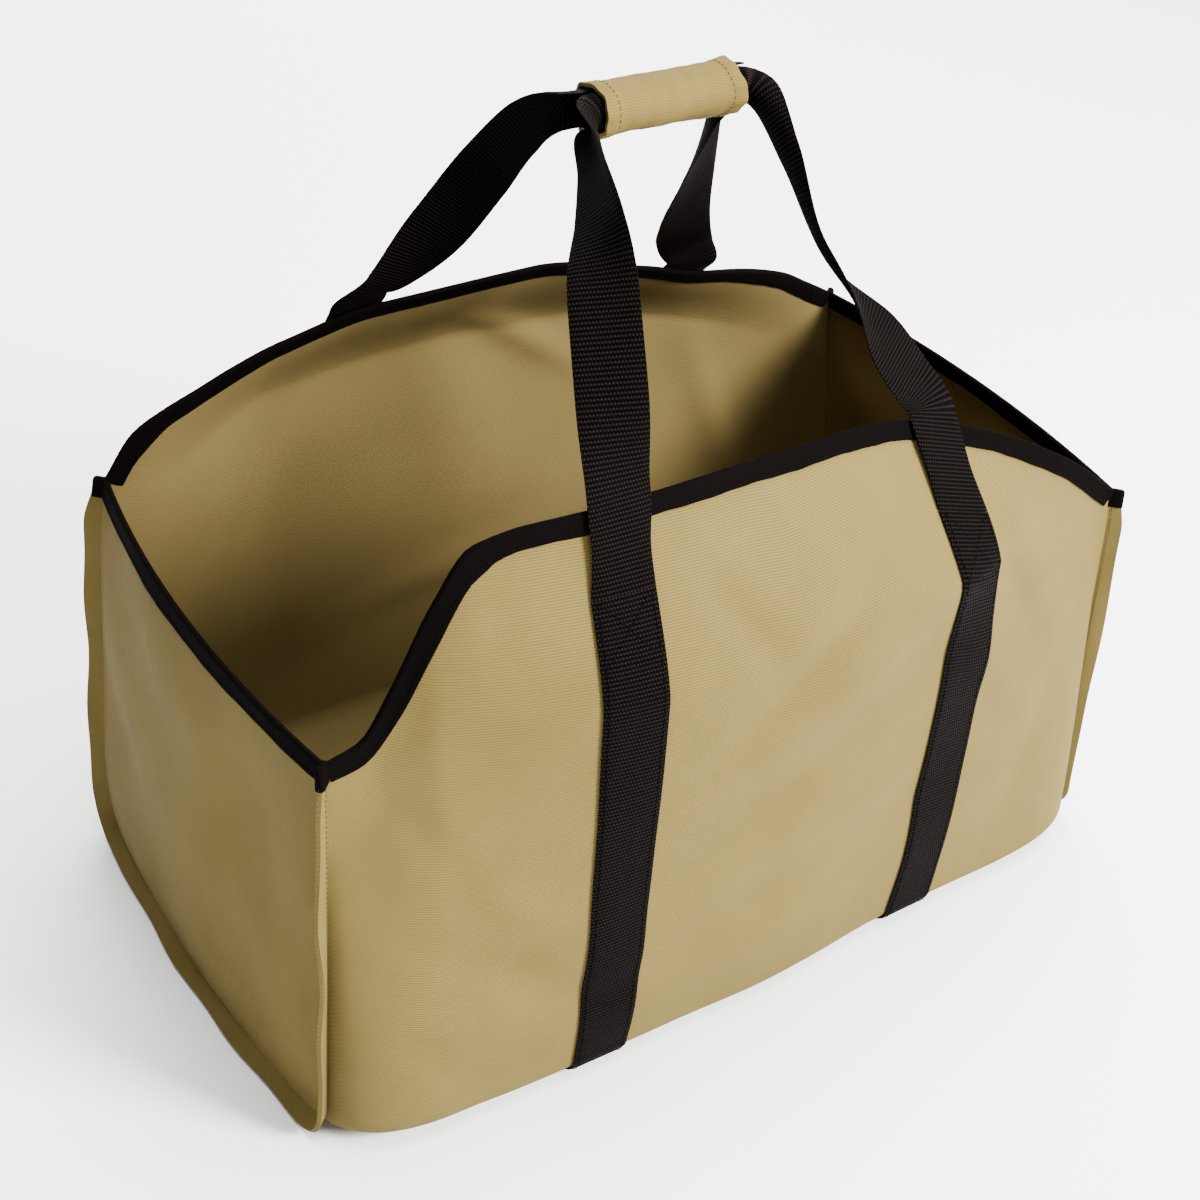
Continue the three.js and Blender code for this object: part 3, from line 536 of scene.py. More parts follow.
def add_shell(name, outer, inner, flat_map, materials):
    """A closed sheet between two grids. A second material, if there is one, is its inside."""
    rows, columns = outer.shape[:2]
    outside, inside, border = shell_faces(rows, columns)
    points = np.vstack([outer.reshape(-1, 3), inner.reshape(-1, 3)])
    faces = np.vstack([outside, inside, border])
    volume = 0
    for side in (outside, inside):
        a, b, c = (points[side[:, corner]] for corner in range(3))
        volume += np.einsum("ij,ij->i", a, np.cross(b, c)).sum()
    if volume < 0:
        faces = faces[:, ::-1]
    slots = np.zeros(len(faces))
    if len(materials) > 1:
        slots[len(outside):len(outside) + len(inside)] = 1
    double = np.vstack([flat_map.reshape(-1, 2)] * 2)
    return link_mesh(name, points, faces, double, materials, slots)


def add_sheet(name, grid, thickness, flat_map, materials):
    """A sheet of one thickness, its grid in the middle."""
    lift = grid_normals(grid) * thickness / 2
    return add_shell(name, grid + lift, grid - lift, flat_map, materials)


def add_webbing(name, grid, flat_map, materials):
    """A woven band with rounded edges, its grid in the middle of its thickness."""
    normals = grid_normals(grid)
    across = np.linspace(-1, 1, grid.shape[1])
    half = WEBBING_THICK / 2 * np.maximum(1 - np.abs(across) ** WEBBING_EDGE_POWER, WEBBING_EDGE_LEAST)
    lift = normals * half[None, :, None]
    return add_shell(name, grid + lift, grid - lift, flat_map, materials)


# The long panel

def rim_height(side, along):
    """How high one long rim is at shares of the half length."""
    column = "front" if side < 0 else "back"
    return END_HEIGHT + (SIDE_HEIGHT - END_HEIGHT) * smooth_column(RIM_ROWS, "along", column, along)


def bottom_level(along):
    """How high the bottom's cloth lies, rising from the straps to the end seams."""
    flat = (STRAP_CENTRE + WEBBING_WIDTH) / HALF_LENGTH
    rise = np.maximum(0, (np.abs(along) - flat) / (1 - flat))
    return BOTTOM_LEVEL + (BOTTOM_SEAM_LIFT - BOTTOM_LEVEL) * rise ** 2


def dent_at(rows, key, value, column, across, up, across_unit, up_unit):
    """How deep the dents of one wall are at each place."""
    total = 0
    for row in rows:
        if row[key] != value:
            continue
        sideways = (across - row[column] * across_unit) / (row["wide"] * SIDE_HEIGHT)
        upward = (up - row["up"] * up_unit) / (row["tall"] * SIDE_HEIGHT)
        total = total + row["deep"] * DENT_DEPTH * np.exp(-sideways ** 2 - upward ** 2)
    return total


def crease_at(side, x, height):
    """How deep the creases of one wall are at each place."""
    total = 0
    for row in CREASES:
        if row["side"] != side:
            continue
        turn = math.radians(row["turn"])
        right, up = x - row["x"], height - row["up"]
        along = (right * math.cos(turn) + up * math.sin(turn)) / row["long"]
        across = (up * math.cos(turn) - right * math.sin(turn)) / row["wide"]
        total = total + row["deep"] * np.exp(-along ** 2 - across ** 2)
    return total


def wall_reach(side, along, height):
    """How far a wall stands from the middle plane: swollen to a crest, then drawn in to the rim."""
    rim = rim_height(side, along)
    crest = np.minimum(CREST_HEIGHT, CREST_SHARE * rim)
    taper = tapered(along, CREST_TAPER)
    column = "front" if side < 0 else "back"
    pull = RIM_PULL * taper * smooth_column(PULL_ROWS, "along", column, along)
    narrowed = mix(tapered(along, FLOOR_TAPER), taper, np.minimum(1, height / crest))
    full = SIDE_BELLY * narrowed * smooth_column(FULL_ROWS, "along", "full", along)
    swell = full * smooth_column(SWELL_ROWS, "up", "swell", height / crest)
    above = np.clip((height - crest) / (rim - crest), 0, 1)
    drawn = mix(above, smooth_step(above), RIM_EASE)
    x = along * HALF_LENGTH
    dent = dent_at(SIDE_DENTS, "side", side, "along", x, height, HALF_LENGTH, SIDE_HEIGHT)
    dent = dent + crease_at(side, x, height) + ripple(x, height, WALL_RIPPLE, side)
    return HALF_DEPTH + mix(swell - dent * taper, -pull, drawn)


def section_point(station, along):
    """One row of the section as depth, height and outward direction, at shares of the half length."""
    along = np.asarray(along, float)
    part, side, share = station
    low = bottom_level(along)
    spring = low + BOTTOM_RADIUS
    if part == "wall":
        height = mix(spring, rim_height(side, along), share)
        return side * wall_reach(side, along, height), height, (side, 0)
    foot = wall_reach(side, along, spring) - BOTTOM_RADIUS
    if part == "corner":
        cos, sin = math.cos(share * math.pi / 2), math.sin(share * math.pi / 2)
        return side * (foot + BOTTOM_RADIUS * cos), spring - BOTTOM_RADIUS * sin, (side * cos, -sin)
    front = wall_reach(-1, along, spring) - BOTTOM_RADIUS
    return mix(-front, foot, (share + 1) / 2), low, (0, -1)


def section_stations():
    """Rows of the section, from the front rim under the bag to the back rim."""
    stations = [("wall", -1, 1.0)]
    for part, side, start, end, steps in (
        ("wall", -1, 1, 0, WALL_STEPS),
        ("corner", -1, 0, 1, CORNER_STEPS),
        ("bottom", 1, -1, 1, BOTTOM_STEPS),
        ("corner", 1, 1, 0, CORNER_STEPS),
        ("wall", 1, 0, 1, WALL_STEPS),
    ):
        stations += [(part, side, share) for share in np.linspace(start, end, steps + 1)[1:]]
    return stations


STATIONS = section_stations()


def seam_sway(end, depth, height):
    """How far an end seam leans out at one place."""
    name = "left" if end < 0 else "right"
    up = height / END_HEIGHT
    front = smooth_column(SEAM_ROWS, "up", f"front_{name}", up)
    back = smooth_column(SEAM_ROWS, "up", f"back_{name}", up)
    return SEAM_SWAY * mix(front, back, np.clip((depth / HALF_DEPTH + 1) / 2, 0, 1))


def allowance_width(height):
    """How wide the seam allowance stands, narrower where the rim tape closes it."""
    return SEAM_ALLOWANCE * mix(TAB_SHARE, 1, smooth_step((END_HEIGHT - height) / TAB_TAPER))


def seam_lines(end, side):
    """The fold of one cloth at an end seam and the edge of its allowance, one point a station."""
    folds, edges = [], []
    for station in STATIONS:
        depth, height, (out_y, out_z) = section_point(station, float(end))
        sway = seam_sway(end, depth, height)
        middle = max(0, 1 - (depth / HALF_DEPTH) ** 2)
        bow = BOTTOM_BOW * middle * max(0, 1 - height / BOTTOM_BOW_RISE)
        centre = np.array([end * (HALF_LENGTH + sway + bow), depth, height])
        outward = np.array([end, out_y, out_z])
        apart = np.array([end, -out_y, -out_z])
        fold = centre + unit(apart) * side * SEAM_SHIFT
        folds.append(fold)
        edges.append(fold + unit(outward) * allowance_width(height))
    return np.array(folds), np.array(edges)


def allowance(folds, edges, end):
    """The seam allowance's columns from the fold to its edge, with the slight wave of a sewn edge."""
    place = arc_lengths(folds)
    wave = ripple(place, 0 * place, ALLOWANCE_RIPPLE, end)
    side = np.array([end, 0, 0])
    shares = np.linspace(0, 1, FLANGE_STEPS + 1)[1:]
    return [mix(folds, edges, share) + (wave * share ** 2)[:, None] * side for share in shares]


def main_grid(alongs, flanges=True):
    """The long panel's middle surface, a row a station, with its allowances turned out at the ends."""
    left_fold, left_edge = seam_lines(-1, -1)
    right_fold, right_edge = seam_lines(1, -1)
    rows = []
    for index, station in enumerate(STATIONS):
        depth, height, (out_y, out_z) = section_point(station, alongs)
        reach = np.where(alongs < 0, -left_fold[index, 0], right_fold[index, 0])
        outside = np.maximum(0, (np.abs(alongs) - STRAP_OUT) / (1 - STRAP_OUT))
        x = alongs * HALF_LENGTH + np.sign(alongs) * (reach - HALF_LENGTH) * outside ** 2
        push = SEAM_SHIFT * math.sqrt(0.5) * np.abs(alongs) ** SEAM_EASE
        height = height + 0 * alongs
        rows.append(np.stack([x, depth + push * out_y, height + push * out_z], -1))
    grid = np.array(rows)
    if not flanges:
        return grid
    grid[:, 0] = left_fold
    grid[:, -1] = right_fold
    left = allowance(left_fold, left_edge, -1)[::-1]
    right = allowance(right_fold, right_edge, 1)
    return np.concatenate([np.stack(left, 1), grid, np.stack(right, 1)], axis=1)


def main_map(grid):
    """The long panel's cloth map: along the bag, and down the cloth from the bottom's middle."""
    middle = len(grid) // 2
    along = arc_lengths(grid[middle])
    down = arc_lengths(grid)
    return np.stack([np.broadcast_to(along, down.shape), down - down[middle]], -1)


# The end panels

def end_grid(end):
    """An end panel: a patch inside the seam line, bulged outward, with its allowance on three sides."""
    folds, edges = seam_lines(end, 1)
    floor = BOTTOM_STEPS + CORNER_STEPS
    front, back = folds[:SIDE_ROWS + 1], folds[::-1][:SIDE_ROWS + 1]
    base = folds[SIDE_ROWS:SIDE_ROWS + floor + 1]
    over = np.linspace(0, 1, floor + 1)
    down = np.linspace(0, 1, SIDE_ROWS + 1)
    top = mix(front[0], back[0], over[:, None])
    top[:, 0] += end * END_RIM_BOW * (1 - (2 * over - 1) ** 2)
    sides = mix(front[:, None], back[:, None], over[None, :, None])
    ends = mix(top[None], base[None], down[:, None, None])
    top_line = mix(top[0], top[-1], over[:, None])
    base_line = mix(base[0], base[-1], over[:, None])
    grid = sides + ends - mix(top_line[None], base_line[None], down[:, None, None])
    rise = np.sin(math.pi * down)[:, None] * np.sin(math.pi * over)[None]
    across, up = grid[..., 1], grid[..., 2]
    dent = dent_at(END_DENTS, "end", end, "across", across, up, HALF_DEPTH, END_HEIGHT)
    dent = dent + ripple(across, up, END_RIPPLE, end)
    edge_gap = np.minimum(np.minimum(down, 1 - down)[:, None], np.minimum(over, 1 - over)[None])
    grid[..., 0] += end * (END_BELLY * rise - dent * np.minimum(1, DENT_FREE * edge_gap))
    return grid, folds, edges


def end_map(grid, end):
    """An end panel's cloth map: across the end, and down from the rim."""
    middle = grid.shape[1] // 2
    across = arc_lengths(grid, 1)
    across = (across - across[:, middle:middle + 1]) * end
    return np.stack([across, arc_lengths(grid)], -1)


# Tape

def tape_section(point, normal, down, gap, legs):
    """One face of a folded tape across one place of a rim: leg, rounded crest and leg."""
    rising = [place + leg_normal * gap for place, leg_normal in reversed(legs)]
    crest = [point + normal * gap * math.cos(turn) - down * gap * math.sin(turn)
             for turn in np.linspace(0, math.pi, TAPE_CREST_STEPS + 1)]
    falling = [place - leg_normal * gap for place, leg_normal in legs]
    return np.array(rising + crest + falling)


def tape_faces(point, normal, down, gap, wall, legs):
    """The outside and the inside of a folded tape across one place of a rim."""
    return [tape_section(point, normal, down, width, legs) for width in (gap + wall, gap)]


def walk_column(grid, normals, column, distance):
    """The place and the outward direction at a distance down one column from its rim."""
    total = arc_lengths(grid[:, column])
    row = min(int(np.searchsorted(total, distance, side="right")) - 1, len(total) - 2)
    share = (distance - total[row]) / (total[row + 1] - total[row])
    place = mix(grid[row, column], grid[row + 1, column], share)
    return place, mix(normals[row, column], normals[row + 1, column], share)


def walk_down(grid, normals, column, distance):
    """The same between two columns."""
    low = min(int(column), grid.shape[1] - 2)
    near, near_out = walk_column(grid, normals, low, distance)
    far, far_out = walk_column(grid, normals, low + 1, distance)
    return mix(near, far, column - low), unit(mix(near_out, far_out, column - low))


def binding_pieces(grid):
    """The outside and the inside of the tape over one rim, and its cloth map."""
    normals = grid_normals(grid)
    last = grid.shape[1] - 1
    sections = []
    places = arc_lengths(grid[0])
    for column in range(last + 1):
        before = grid[0, max(column - TAPE_REACH, 0)]
        after = grid[0, min(column + TAPE_REACH, last)]
        along = unit(after - before)
        down = unit(grid[1, column] - grid[0, column])
        slant = np.linalg.norm(np.cross(along, down))
        square = unit(down - along * along.dot(down))
        uneven = 1 + sum(much * math.sin(column * fast) for much, fast in TAPE_WAVES)
        legs = []
        for share in TAPE_SHARES:
            walk = share * TAPE_SEEN * uneven / slant
            beside = np.interp(places[column] - walk * along.dot(down), places, range(last + 1))
            legs.append(walk_down(grid, normals, beside, walk))
        rim = (grid[0, column], normals[0, column], square)
        sections.append(tape_faces(*rim, HALF_WALL + TAPE_CLEARANCE, TAPE_WALL, legs))
    outer, inner = np.array(sections).swapaxes(0, 1)
    across = arc_lengths(outer, 1)
    flat_map = np.stack([np.broadcast_to(places[:, None], across.shape), across], -1)
    return outer, inner, flat_map


# Webbing and handles

def strap_alongs(end):
    """The places across one strap, as shares of the half length."""
    centre = end * STRAP_CENTRE / HALF_LENGTH
    half = WEBBING_WIDTH / 2 / HALF_LENGTH
    return np.linspace(centre - half, centre + half, WEBBING_STEPS + 1)


def webbing_map(grid):
    """The cloth map of a band: across it, and along its length."""
    along = arc_lengths(grid[:, grid.shape[1] // 2])
    across = np.linspace(-WEBBING_WIDTH / 2, WEBBING_WIDTH / 2, grid.shape[1])
    return np.stack(np.broadcast_arrays(across[None, :], along[:, None]), -1)


def wall_lines(side, end):
    """The wall under a handle leg: its points across the strap at the rim and down to the stitch row."""
    alongs = strap_alongs(end)
    grid = main_grid(alongs, flanges=False)
    normals = grid_normals(grid)
    if side > 0:
        grid, normals = grid[::-1], normals[::-1]
    rows = [round(WALL_STEPS * (1 - share)) for share in (1, (1 + STITCH_SHARE) / 2, STITCH_SHARE)]
    return grid[rows], normals[rows]


def leg_stations(side, end, turn, rows):
    """The free length of one handle leg, from the stitch row to just outside the grip."""
    wall, facing = wall_lines(side, end)
    middle = WEBBING_STEPS // 2
    widths = (wall[:, -1] - wall[:, 0]) * (end * turn / 2)

    def lifted(row, offset):
        """The middle of the leg over one row of the wall, clear of the row's ends."""
        out = facing[row, middle]
        chord = (wall[row, 0] + wall[row, -1]) / 2
        sag = max(0, (chord - wall[row, middle]).dot(out))
        return wall[row, middle] + out * (offset + sag)

    climb = unit(wall[1, middle] - wall[2, middle])
    start = lifted(2, STRAP_OFFSET) + climb * CLEARANCE
    stations = [dict(centre=start, width=widths[2], curl=0, square=0)]
    widths[1] = widths[1] * WAIST_SHARE
    for row in (1, 0):
        inward = unit(widths[row]) * -turn * LEG_LEAN * (1 - row / 2)
        centre = lifted(row, HANDLE_OFFSET) + inward
        stations.append(dict(centre=centre, width=widths[row], curl=0, square=0))
    rim = stations[-1]["centre"]
    rim_climb = unit(wall[0, middle] - wall[1, middle])
    stations.append(dict(centre=rim + rim_climb * TAPE_LEG, width=widths[0], curl=0, square=0.5))
    grip = np.array([end * GRIP_LENGTH / 2, side * CURL_DEPTH, HANDLE_HEIGHT])
    for row in rows:
        share = np.array([row["inward"], row["across"], row["rise"]])
        turned = np.array([end * turn * row["wide_x"], -side * row["wide_y"], row["wide_z"]])
        width = unit(turned) * WEBBING_WIDTH / 2
        stations.append(dict(centre=mix(rim, grip, share), width=width, curl=row["curl"], square=1))
    return stations


def strap_end(side, end, turn):
    """The points across a strap's end at the stitch row, in the order of the leg above it."""
    wall, facing = wall_lines(side, end)
    climb = unit(wall[1] - wall[2])
    line = wall[2] + facing[2] * STRAP_OFFSET + climb * CLEARANCE
    return line if end * turn > 0 else line[::-1]


def grip_stations(side):
    """The stretch of a handle inside the grip, rolled to one half of the grip's oval."""
    reach = GRIP_LENGTH / 2 + 2 * WEBBING_THICK
    width = np.array([0, 0, WEBBING_WIDTH / 2])
    centres = [np.array([share * reach, side * CURL_DEPTH, HANDLE_HEIGHT]) for share in GRIP_SHARES]
    return [dict(centre=centre, width=width, curl=1, square=1) for centre in centres]


def handle_grid(side, name):
    """A handle: both legs and the grip stretch on one smooth path, with its width turning along it."""
    left_name, right_name = f"{name}_left", f"{name}_right"
    left = leg_stations(side, -1, LEG_TURNS[left_name], LEG_ROWS[left_name])
    right = leg_stations(side, 1, LEG_TURNS[right_name], LEG_ROWS[right_name])[::-1]
    stations = left + grip_stations(side) + right
    spans = len(stations) - 1
    places = np.linspace(0, 1, HANDLE_STEPS + 1)
    centres = spline([station["centre"] for station in stations], places)
    widths = spline([station["width"] for station in stations], places)
    ahead = unit(np.gradient(centres, axis=0))
    level = places * spans
    curl = np.interp(level, range(spans + 1), [station["curl"] for station in stations])
    square = np.interp(level, range(spans + 1), [station["square"] for station in stations])[:, None]
    squared = widths - ahead * np.sum(widths * ahead, axis=1, keepdims=True)
    widths = mix(widths, unit(squared) * WEBBING_WIDTH / 2, square)
    bend = unit(np.cross(widths, ahead)) * -side
    pace = math.sqrt((CURL_DEPTH ** 2 + CURL_HEIGHT ** 2) / 2)
    half_turn = (WEBBING_WIDTH - WEBBING_THICK) / 2 / pace
    columns = []
    for across in np.linspace(-1, 1, WEBBING_STEPS + 1):
        angle = across * half_turn
        rolled = CURL_HEIGHT * math.sin(angle) / (WEBBING_WIDTH / 2)
        wide = mix(across, rolled, curl)[:, None]
        deep = (CURL_DEPTH * (1 - math.cos(angle)) * curl)[:, None]
        columns.append(centres + widths * wide + bend * deep)
    grid = np.stack(columns, axis=1)
    for row, end, span, leg in ((0, -1, level, left_name), (-1, 1, spans - level, right_name)):
        line = strap_end(side, end, LEG_TURNS[leg])
        grid += smooth_step(1 - span)[:, None, None] * (line - grid[row])
    return grid


def grip_grid(lift):
    """The grip canvas at a distance from its first layer's outside, its last part over its first."""
    turn = 2 * math.pi + GRIP_OVERLAP
    shares = np.linspace(-0.5, 0.5, GRIP_LENGTH_STEPS + 1)
    angles = np.linspace(0, turn, GRIP_TURN_STEPS + 1)
    climb = smooth_step((angles - 2 * math.pi) / GRIP_OVERLAP + 1)
    rows = []
    for share in shares:
        near_end = smooth_step((abs(share) - GRIP_END) / GRIP_END_RUN)
        to_right = smooth_step((share - GRIP_RIGHT) / (0.5 - GRIP_RIGHT))
        flare = GRIP_FLARE * near_end + GRIP_RIGHT_FLARE * to_right
        pucker = GRIP_PUCKER * near_end * np.sin(GRIP_PUCKERS * angles + GRIP_WAVES * share)
        length = share * GRIP_LENGTH * GRIP_WRINKLING
        wrinkle = ripple(length + 0 * angles, angles * GRIP_RADIUS, GRIP_RIPPLE)
        out = climb * (GRIP_WALL + CLEARANCE) + lift + flare + pucker + wrinkle
        depth = (GRIP_DEPTH / 2 + out) * np.sin(angles)
        height = (GRIP_HEIGHT / 2 + out) * np.cos(angles)
        wave = GRIP_WAVE * np.sin(GRIP_WAVES * angles) * near_end * np.sign(share)
        x = share * GRIP_LENGTH + wave
        rows.append(np.stack([x, depth, HANDLE_HEIGHT - height], -1))
    return np.array(rows)


# Stitches

def add_stitches(name, lines, material, slot):
    """Rows of short threads along lines. A line is its points and the outward direction at each."""
    points, faces = [], []
    for line, outward in lines:
        total = arc_lengths(line)
        for start in np.arange(STITCH_PITCH / 2, total[-1] - STITCH_LENGTH, STITCH_PITCH):
            ends = [np.array([np.interp(place, total, line[:, axis]) for axis in range(3)])
                    for place in (start, start + STITCH_LENGTH)]
            up = unit(np.array([np.interp(start, total, outward[:, axis]) for axis in range(3)]))
            add_thread(points, faces, ends, up)
    points = np.array(points)
    stand_for(link_mesh(name, points, np.array(faces), points[:, :2], [material]), slot)


def add_thread(points, faces, ends, up):
    """One stitch: a thread that rises from the cloth, runs along it and goes in again."""
    ahead = unit(ends[1] - ends[0])
    side = unit(np.cross(ahead, up))
    base = len(points)
    for share, swell, rise in STITCH_PROFILE:
        centre = mix(ends[0], ends[1], share) + up * rise * STITCH_THICK
        for turn in range(STITCH_RING):
            angle = 2 * math.pi * turn / STITCH_RING + math.pi / 4
            away = side * math.cos(angle) + up * math.sin(angle)
            points.append(centre + away * STITCH_THICK / 2 * swell)
    for ring in range(len(STITCH_PROFILE) - 1):
        for turn in range(STITCH_RING):
            after = (turn + 1) % STITCH_RING
            low, high = base + ring * STITCH_RING, base + (ring + 1) * STITCH_RING
            faces.append((low + turn, high + turn, high + after, low + after))


# Materials

def new_shader(name, surface):
    """A material, its nodes and its shader, with its roughness and specular level set."""
    material = bpy.data.materials.new(name)
    material.use_nodes = True
    shader = material.node_tree.nodes["Principled BSDF"]
    shader.inputs["Roughness"].default_value = surface[0]
    shader.inputs["Specular IOR Level"].default_value = surface[1]
    return material, material.node_tree, shader


def put(tree, value, socket):
    """Links a socket, or sets a number or colour, on a node's input."""
    if isinstance(value, bpy.types.NodeSocket):
        tree.links.new(value, socket)
    else:
        socket.default_value = value


def calc(tree, operation, first, second=0.0):
    """The result of a sum or another operation on one or two values."""
    node = tree.nodes.new("ShaderNodeMath")
    node.operation = operation
    put(tree, first, node.inputs[0])
    put(tree, second, node.inputs[1])
    return node.outputs[0]


def cloth_place(tree):
    """The two directions of the cloth map, in metres."""
    source = tree.nodes.new("ShaderNodeUVMap")
    source.uv_map = "cloth"
    parts = tree.nodes.new("ShaderNodeSeparateXYZ")
    tree.links.new(source.outputs[0], parts.inputs[0])
    return parts.outputs[0], parts.outputs[1]


def cloud(tree, size, detail=3.0):
    """Soft noise over the object, with blotches of one size."""
    place = tree.nodes.new("ShaderNodeTexCoord")
    noise = tree.nodes.new("ShaderNodeTexNoise")
    noise.inputs["Scale"].default_value = 1 / size
    noise.inputs["Detail"].default_value = detail
    tree.links.new(place.outputs["Object"], noise.inputs["Vector"])
    return noise.outputs[0]


def wave(tree, place, pitch):
    """A wave from 0 to 1 along one direction of the cloth."""
    turned = calc(tree, "SINE", calc(tree, "MULTIPLY", place, 2 * math.pi / pitch))
    return calc(tree, "ADD", calc(tree, "MULTIPLY", turned, 0.5), 0.5)


def blend(tree, share, first, second):
    """A colour between two others."""
    node = tree.nodes.new("ShaderNodeMix")
    node.data_type = "RGBA"
    put(tree, share, node.inputs[0])
    put(tree, first, node.inputs[6])
    put(tree, second, node.inputs[7])
    return node.outputs[2]


def add_bump(tree, shader, height, surface):
    """The fine relief of a weave, from a height between 0 and 1."""
    node = tree.nodes.new("ShaderNodeBump")
    node.inputs["Distance"].default_value = surface[2]
    node.inputs["Strength"].default_value = surface[3]
    tree.links.new(height, node.inputs["Height"])
    tree.links.new(node.outputs[0], shader.inputs["Normal"])


def woven(tree, rib_pitch, thread_pitch):
    """The height of a plain weave: ribs across one direction, broken by the threads that cross them."""
    across, along = cloth_place(tree)
    rib = wave(tree, along, rib_pitch)
    row = calc(tree, "FLOOR", calc(tree, "DIVIDE", along, rib_pitch))
    shifted = calc(tree, "ADD", across, calc(tree, "MULTIPLY", row, thread_pitch / 2))
    thread = wave(tree, shifted, thread_pitch)
    ribs = calc(tree, "MULTIPLY", rib, RIB_SHARE)
    return calc(tree, "ADD", ribs, calc(tree, "MULTIPLY", thread, 1 - RIB_SHARE))


def canvas_material(name, light, dark, warm):
    """Coated Oxford canvas: fine level ribs, tiny thread shadows painted into the colour, and faint blotches.
    """
    material, tree, shader = new_shader(name, CANVAS_SURFACE)
    weave = woven(tree, CANVAS_RIB, CANVAS_THREAD)
    # The hollows of the weave take the darker colour: painted shade between the threads
    threads = blend(tree, weave, dark, light)
    size, less, strength = DARK_BLOTCHES
    blotches = calc(tree, "MULTIPLY", calc(tree, "SUBTRACT", cloud(tree, size), less), strength)
    warm_size, warm_strength = WARM_BLOTCHES
    tinted = blend(tree, calc(tree, "MULTIPLY", cloud(tree, warm_size), warm_strength), threads, warm)
    put(tree, blend(tree, blotches, tinted, dark), shader.inputs["Base Color"])
    add_bump(tree, shader, weave, CANVAS_SURFACE)
    return material


def webbing_material():
    """Near-black polypropylene webbing: strong ribs across it, with grey glints painted on their tops."""
    material, tree, shader = new_shader("webbing_black", WEBBING_SURFACE)
    weave = woven(tree, WEBBING_RIB, WEBBING_THREAD)
    # Grey glints painted on the tops of the ribs
    painted_glints = calc(tree, "POWER", weave, WEBBING_GLINT_SHARPNESS)
    put(tree, blend(tree, painted_glints, *WEBBING_BASE_AND_GLINT_COLOURS), shader.inputs["Base Color"])
    add_bump(tree, shader, weave, WEBBING_SURFACE)
    return material


def tape_material():
    """Near-black twill tape with fine slanted lines."""
    material, tree, shader = new_shader("tape_black", TAPE_SURFACE)
    along, across = cloth_place(tree)
    slanted = wave(tree, calc(tree, "ADD", along, across), TAPE_TWILL)
    put(tree, blend(tree, slanted, *TAPE_COLOURS), shader.inputs["Base Color"])
    add_bump(tree, shader, slanted, TAPE_SURFACE)
    return material


def thread_material(name, colour):
    """Sewing thread of one colour, a little darker in places."""
    material, tree, shader = new_shader(name, THREAD_SURFACE)
    tint = cloud(tree, THREAD_TINT_SIZE, 1.0)
    darker = tuple(part * THREAD_SHADE for part in colour[:3]) + (1,)
    put(tree, blend(tree, tint, darker, colour), shader.inputs["Base Color"])
    return material


def floor_material():
    """The pale floor."""
    material, _, shader = new_shader("floor_pale", FLOOR_SURFACE)
    shader.inputs["Base Color"].default_value = FLOOR_COLOUR
    return material


# The bag, piece by piece

def stand_for(piece, slot, *nodes):
    """A visual piece of the bag takes the place of its CAD nodes, if it has any."""
    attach(piece, "root")
    if nodes:
        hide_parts(*nodes)


def add_canvas(looks, name, node, grid, outward, flat_map):
    """A canvas panel in the middle of its wall, with its inside in the lining's look."""
    lift = outward * HALF_WALL
    panel = add_shell(name, grid + lift, grid - lift, flat_map, [looks["canvas"], looks["lining"]])
    stand_for(panel, "canvas", node)
    return panel


def add_main_panel(looks):
    """The long canvas with the tape over both its rims and the stitches of its end seams."""
    alongs = np.linspace(-1, 1, LENGTH_STEPS + 1)
    grid = main_grid(alongs)
    normals = grid_normals(grid)
    outward = normals if normals[0, LENGTH_STEPS // 2, 1] < 0 else -normals
    flat_map = main_map(grid)
    panel = add_canvas(looks, "main_canvas", "main_panel", grid, outward, flat_map)
    inside = grid[:, FLANGE_STEPS:-FLANGE_STEPS]
    add_binding(looks, inside, "binding_front")
    add_binding(looks, inside[::-1], "binding_back")
    lines = []
    for column in (FLANGE_STEPS - 1, -FLANGE_STEPS):
        out = outward[:, column]
        lines.append((grid[:, column] + out * HALF_WALL * SEAM_THREAD_LIFT, out))
    add_stitches("main_seam_stitches", lines, looks["thread"], "canvas")


def add_binding(looks, grid, node):
    """The tape over one rim, with a row of stitches along each of its legs."""
    outer, inner, flat_map = binding_pieces(grid)
    tape = add_shell(f"{node}_tape", outer, inner, flat_map, [looks["tape"]])
    stand_for(tape, "tape", node)
    columns = outer.shape[1]
    lines = []
    for column, beside in ((1, 2), (columns - 2, columns - 3)):
        line = outer[:, column]
        across = unit(outer[:, beside] - line)
        ahead = unit(np.gradient(line, axis=0))
        out = np.cross(across, ahead)
        centre = (outer[:, column] + inner[:, column]) / 2
        out = out * np.sign(np.sum(out * (line - centre), axis=1))[:, None]
        lines.append((line, out))
    add_stitches(f"{node}_stitches", lines, looks["black_thread"], "tape")


def add_end_panel(looks, name, end):
    """One end: its canvas, the strip of its seam allowance and the tape over its rim."""
    patch, folds, edges = end_grid(end)
    normals = grid_normals(patch)
    outward = normals if normals[SIDE_ROWS // 2, patch.shape[1] // 2, 0] * end > 0 else -normals
    names = (f"end_canvas_{name}", f"end_panel_{name}")
    panel = add_canvas(looks, *names, patch, outward, end_map(patch, end))
    columns = [folds, *allowance(folds, edges, end)]
    strip = np.stack(columns, 1)
    across = np.broadcast_to(np.linspace(0, SEAM_ALLOWANCE, len(columns)), strip.shape[:2])
    strip_map = np.stack([across, arc_lengths(strip)], -1)
    flange = add_sheet(f"end_allowance_{name}", strip, CLOTH_WALL, strip_map, [looks["canvas"]])
    stand_for(flange, "canvas")
    add_binding(looks, patch, f"binding_{name}")


